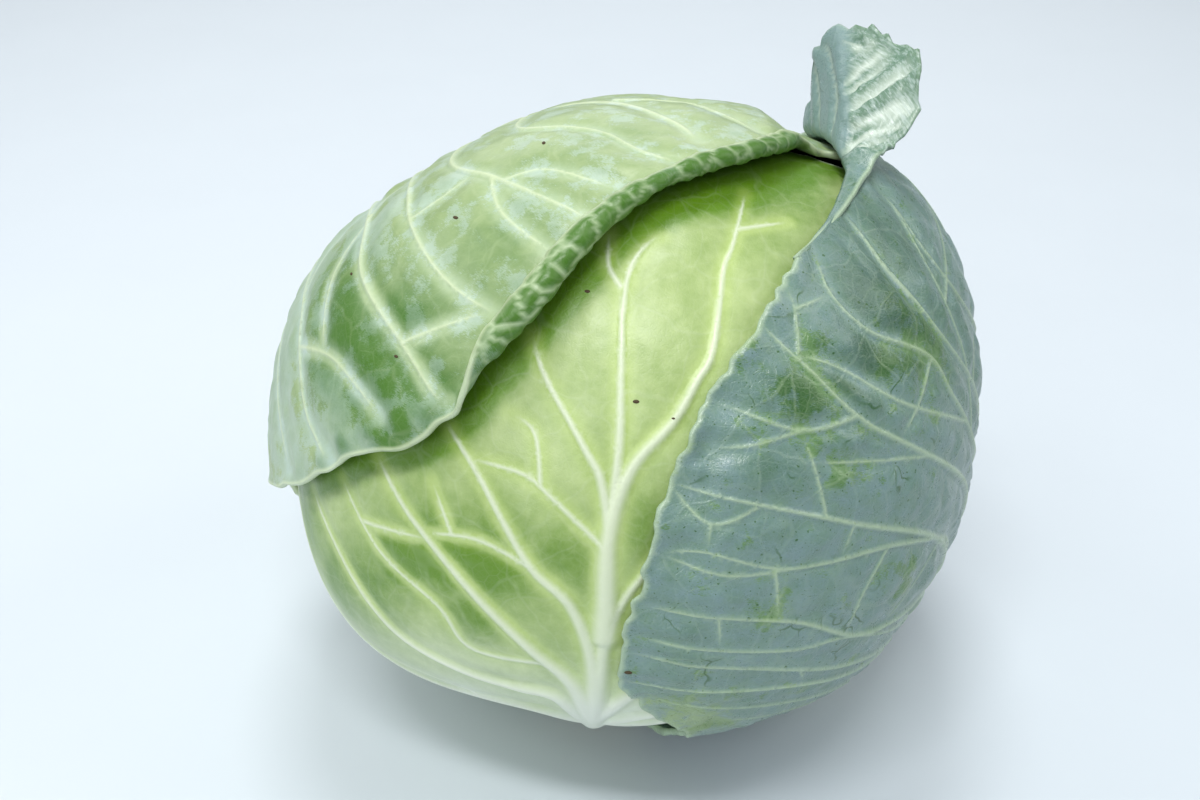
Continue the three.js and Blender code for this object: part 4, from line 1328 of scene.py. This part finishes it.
def outermost(leaf, longitude, latitude):
    """The vertex of a leaf that lies at a place on the head, on the leaf's outer side."""
    mesh = leaf.data
    points = np.empty(3 * len(mesh.vertices), np.float32)
    mesh.vertices.foreach_get("co", points)
    offsets = points.reshape(-1, 3) / MILLIMETRE - head_centre
    reach = np.linalg.norm(offsets, axis=1)
    towards = (offsets / reach[:, None]) @ head_turn @ direction_at(longitude, latitude)
    return mesh.vertices[int(np.argmax(towards + 0.0005 * reach * (towards > 0.9997)))]


def add_specks(pieces):
    """Grains of soil that lie on the leaves."""
    specks = []
    for leaf, longitude, latitude, size in SPECKS:
        vertex = outermost(pieces[leaf], longitude, latitude)
        bpy.ops.object.select_all(action="DESELECT")
        bpy.ops.mesh.primitive_ico_sphere_add(subdivisions=2, radius=size * MILLIMETRE)
        speck = bpy.context.object
        turn = vertex.normal.to_track_quat("Z", "Y").to_matrix().to_4x4()
        speck.data.transform(Matrix.Translation(vertex.co) @ turn @ Matrix.Diagonal((*SPECK_SHAPE, 1)))
        specks.append(speck)
    bpy.ops.object.select_all(action="DESELECT")
    for speck in specks:
        speck.select_set(True)
    bpy.ops.object.join()
    bpy.context.object.name = "specks"
    return bpy.context.object


# ---- the pieces ----

def add_leaf(node, plan, veins, seed, colour, outline, strip=None, **shape):
    leaf = Leaf(plan, LAYER[node], veins, seed, colour, **shape)
    return leaf_piece(node + "_dressed", leaf, outline, strip)


def add_hidden_leaf(node, longitude, seed):
    plan = Plan(longitude, 0)
    return add_leaf(node, plan, hidden_veins(plan, longitude), seed, hidden_colour,
                    hugging_outline(plan, longitude), pillow=0.2, quilt=0.1, wave=0.2, seen=False)


front_plan = Plan(FRONT_LONGITUDE, 0)
left_cover = (left_plan, left_outline)
right_cover = (right_plan, right_outline)

pieces = {
    "front_leaf": add_leaf(
        "front_leaf", front_plan, front_veins(front_plan), 11, front_colour,
        hugging_outline(front_plan, FRONT_LONGITUDE), pillow=0.45, quilt=0.1, wave=0.35, cells=13,
        covers=(left_cover, right_cover)),
    "left_leaf": add_leaf(
        "left_leaf", left_plan, left_veins(), 22, left_colour, left_outline, left_roll, pillow=0.9,
        wave=0.6, cells=12, frill=0.7, rise=left_rise, covers=(right_cover,), detail=left_detail),
    "right_leaf": add_leaf(
        "right_leaf", right_plan, right_veins(), 33, right_colour, right_outline, right_tip, pillow=1.1,
        quilt=0.45, wave=0.7, cells=11, frill=0.7, rise=right_rise, detail=right_detail),
    "side_leaf": add_hidden_leaf("side_leaf", SIDE_LONGITUDE, 44),
    "back_leaf": add_hidden_leaf("back_leaf", BACK_LONGITUDE, 55),
    "heart": add_heart(),
    "stem": add_stump(),
}
inner_finish = hidden_finish()
for node, slot, finish in (
        ("front_leaf", "front_leaf", front_finish()), ("left_leaf", "left_leaf", left_finish()),
        ("right_leaf", "right_leaf", right_finish()), ("side_leaf", "inner_leaf", inner_finish),
        ("back_leaf", "inner_leaf", inner_finish), ("heart", "heart_leaf", heart_finish()),
        ("stem", "stem_cut", stump_finish())):
    piece = pieces[node]
    piece.data.materials.append(finish)
    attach(piece, "root")
    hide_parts(node)

specks = add_specks(pieces)
specks.data.materials.append(soil_finish())
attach(specks, "root")


# ---- camera, floor and light ----

CAMERA_DISTANCE = 0.419         # metres
CAMERA_DOWN = 33                # degrees below level
AIM_ASIDE = -0.02               # how far the middle of the picture is from the head's, as a share of distance
AIM_ABOVE = -0.00966
LENS = 43.5                     # millimetres
SENSOR_WIDTH = 36
FLOOR_RADIUS = 3                # metres
LIT_PLACE = (0, 0, 0.08)        # what the lights face, in metres
COOL = (0.93, 0.97, 1)
WHITE = (1, 1, 1)
SOFTBOXES = [                   # name, place, width and height in metres, power in watts, colour
    ("top softbox", (-0.05, 0.24, 1.45), (0.4, 0.3), 7, WHITE),
    ("front softbox", (-0.12, -0.6, 1.3), (0.6, 0.14), 8.8, WHITE),
    ("front wall", (-0.35, -1.0, 0.75), (0.8, 0.5), 2.5, COOL),
    ("left wall", (-0.8, 0.1, 0.75), (0.7, 0.6), 2.8, WHITE),
    ("right wall", (0.8, 0, 0.7), (0.7, 0.6), 2.5, WHITE),
    ("back wall", (0, 0.95, 0.6), (1.2, 0.6), 3.4, WHITE),
    ("front lamp", (-0.45, -0.72, 0.42), (0.3, 0.2), 1, WHITE),
]


def add_camera():
    down = math.radians(CAMERA_DOWN)
    forward = Vector((0, math.cos(down), -math.sin(down)))
    upward = Vector((0, math.sin(down), math.cos(down)))
    aim = forward - Vector((AIM_ASIDE, 0, 0)) + AIM_ABOVE * upward
    lens = bpy.data.cameras.new("camera")
    lens.lens = LENS
    lens.sensor_width = SENSOR_WIDTH
    camera = bpy.data.objects.new("camera", lens)
    camera.location = Vector(head_centre * MILLIMETRE) - CAMERA_DISTANCE * aim
    camera.rotation_euler = (math.pi / 2 - down, 0, 0)
    bpy.context.collection.objects.link(camera)
    bpy.context.scene.camera = camera


def add_softbox(name, place, size, power, colour):
    light = bpy.data.lights.new(name, "AREA")
    light.shape = "RECTANGLE"
    light.size, light.size_y = size
    light.energy = power
    light.color = colour
    lamp = bpy.data.objects.new(name, light)
    lamp.location = place
    lamp.rotation_euler = (Vector(LIT_PLACE) - lamp.location).to_track_quat("-Z", "Y").to_euler()
    bpy.context.collection.objects.link(lamp)


def add_floor():
    bpy.ops.object.select_all(action="DESELECT")
    bpy.ops.mesh.primitive_circle_add(vertices=96, radius=FLOOR_RADIUS, fill_type="NGON")
    floor = bpy.context.object
    floor.name = "floor"
    finish = Finish("floor", on_plan=False, Specular_IOR_Level=0.3)
    floor.data.materials.append(finish.done(finish.mix("ccd5dc", "cfd8df", finish.noise(60, 3)), 0.55))


def add_surroundings():
    world = bpy.data.worlds.new("surroundings")
    world.use_nodes = True
    background = world.node_tree.nodes["Background"]
    background.inputs["Color"].default_value = (*COOL, 1)
    background.inputs["Strength"].default_value = 0.25
    bpy.context.scene.world = world
    bpy.context.scene.view_settings.view_transform = "Standard"


add_camera()
add_floor()
add_surroundings()
for softbox in SOFTBOXES:
    add_softbox(*softbox)
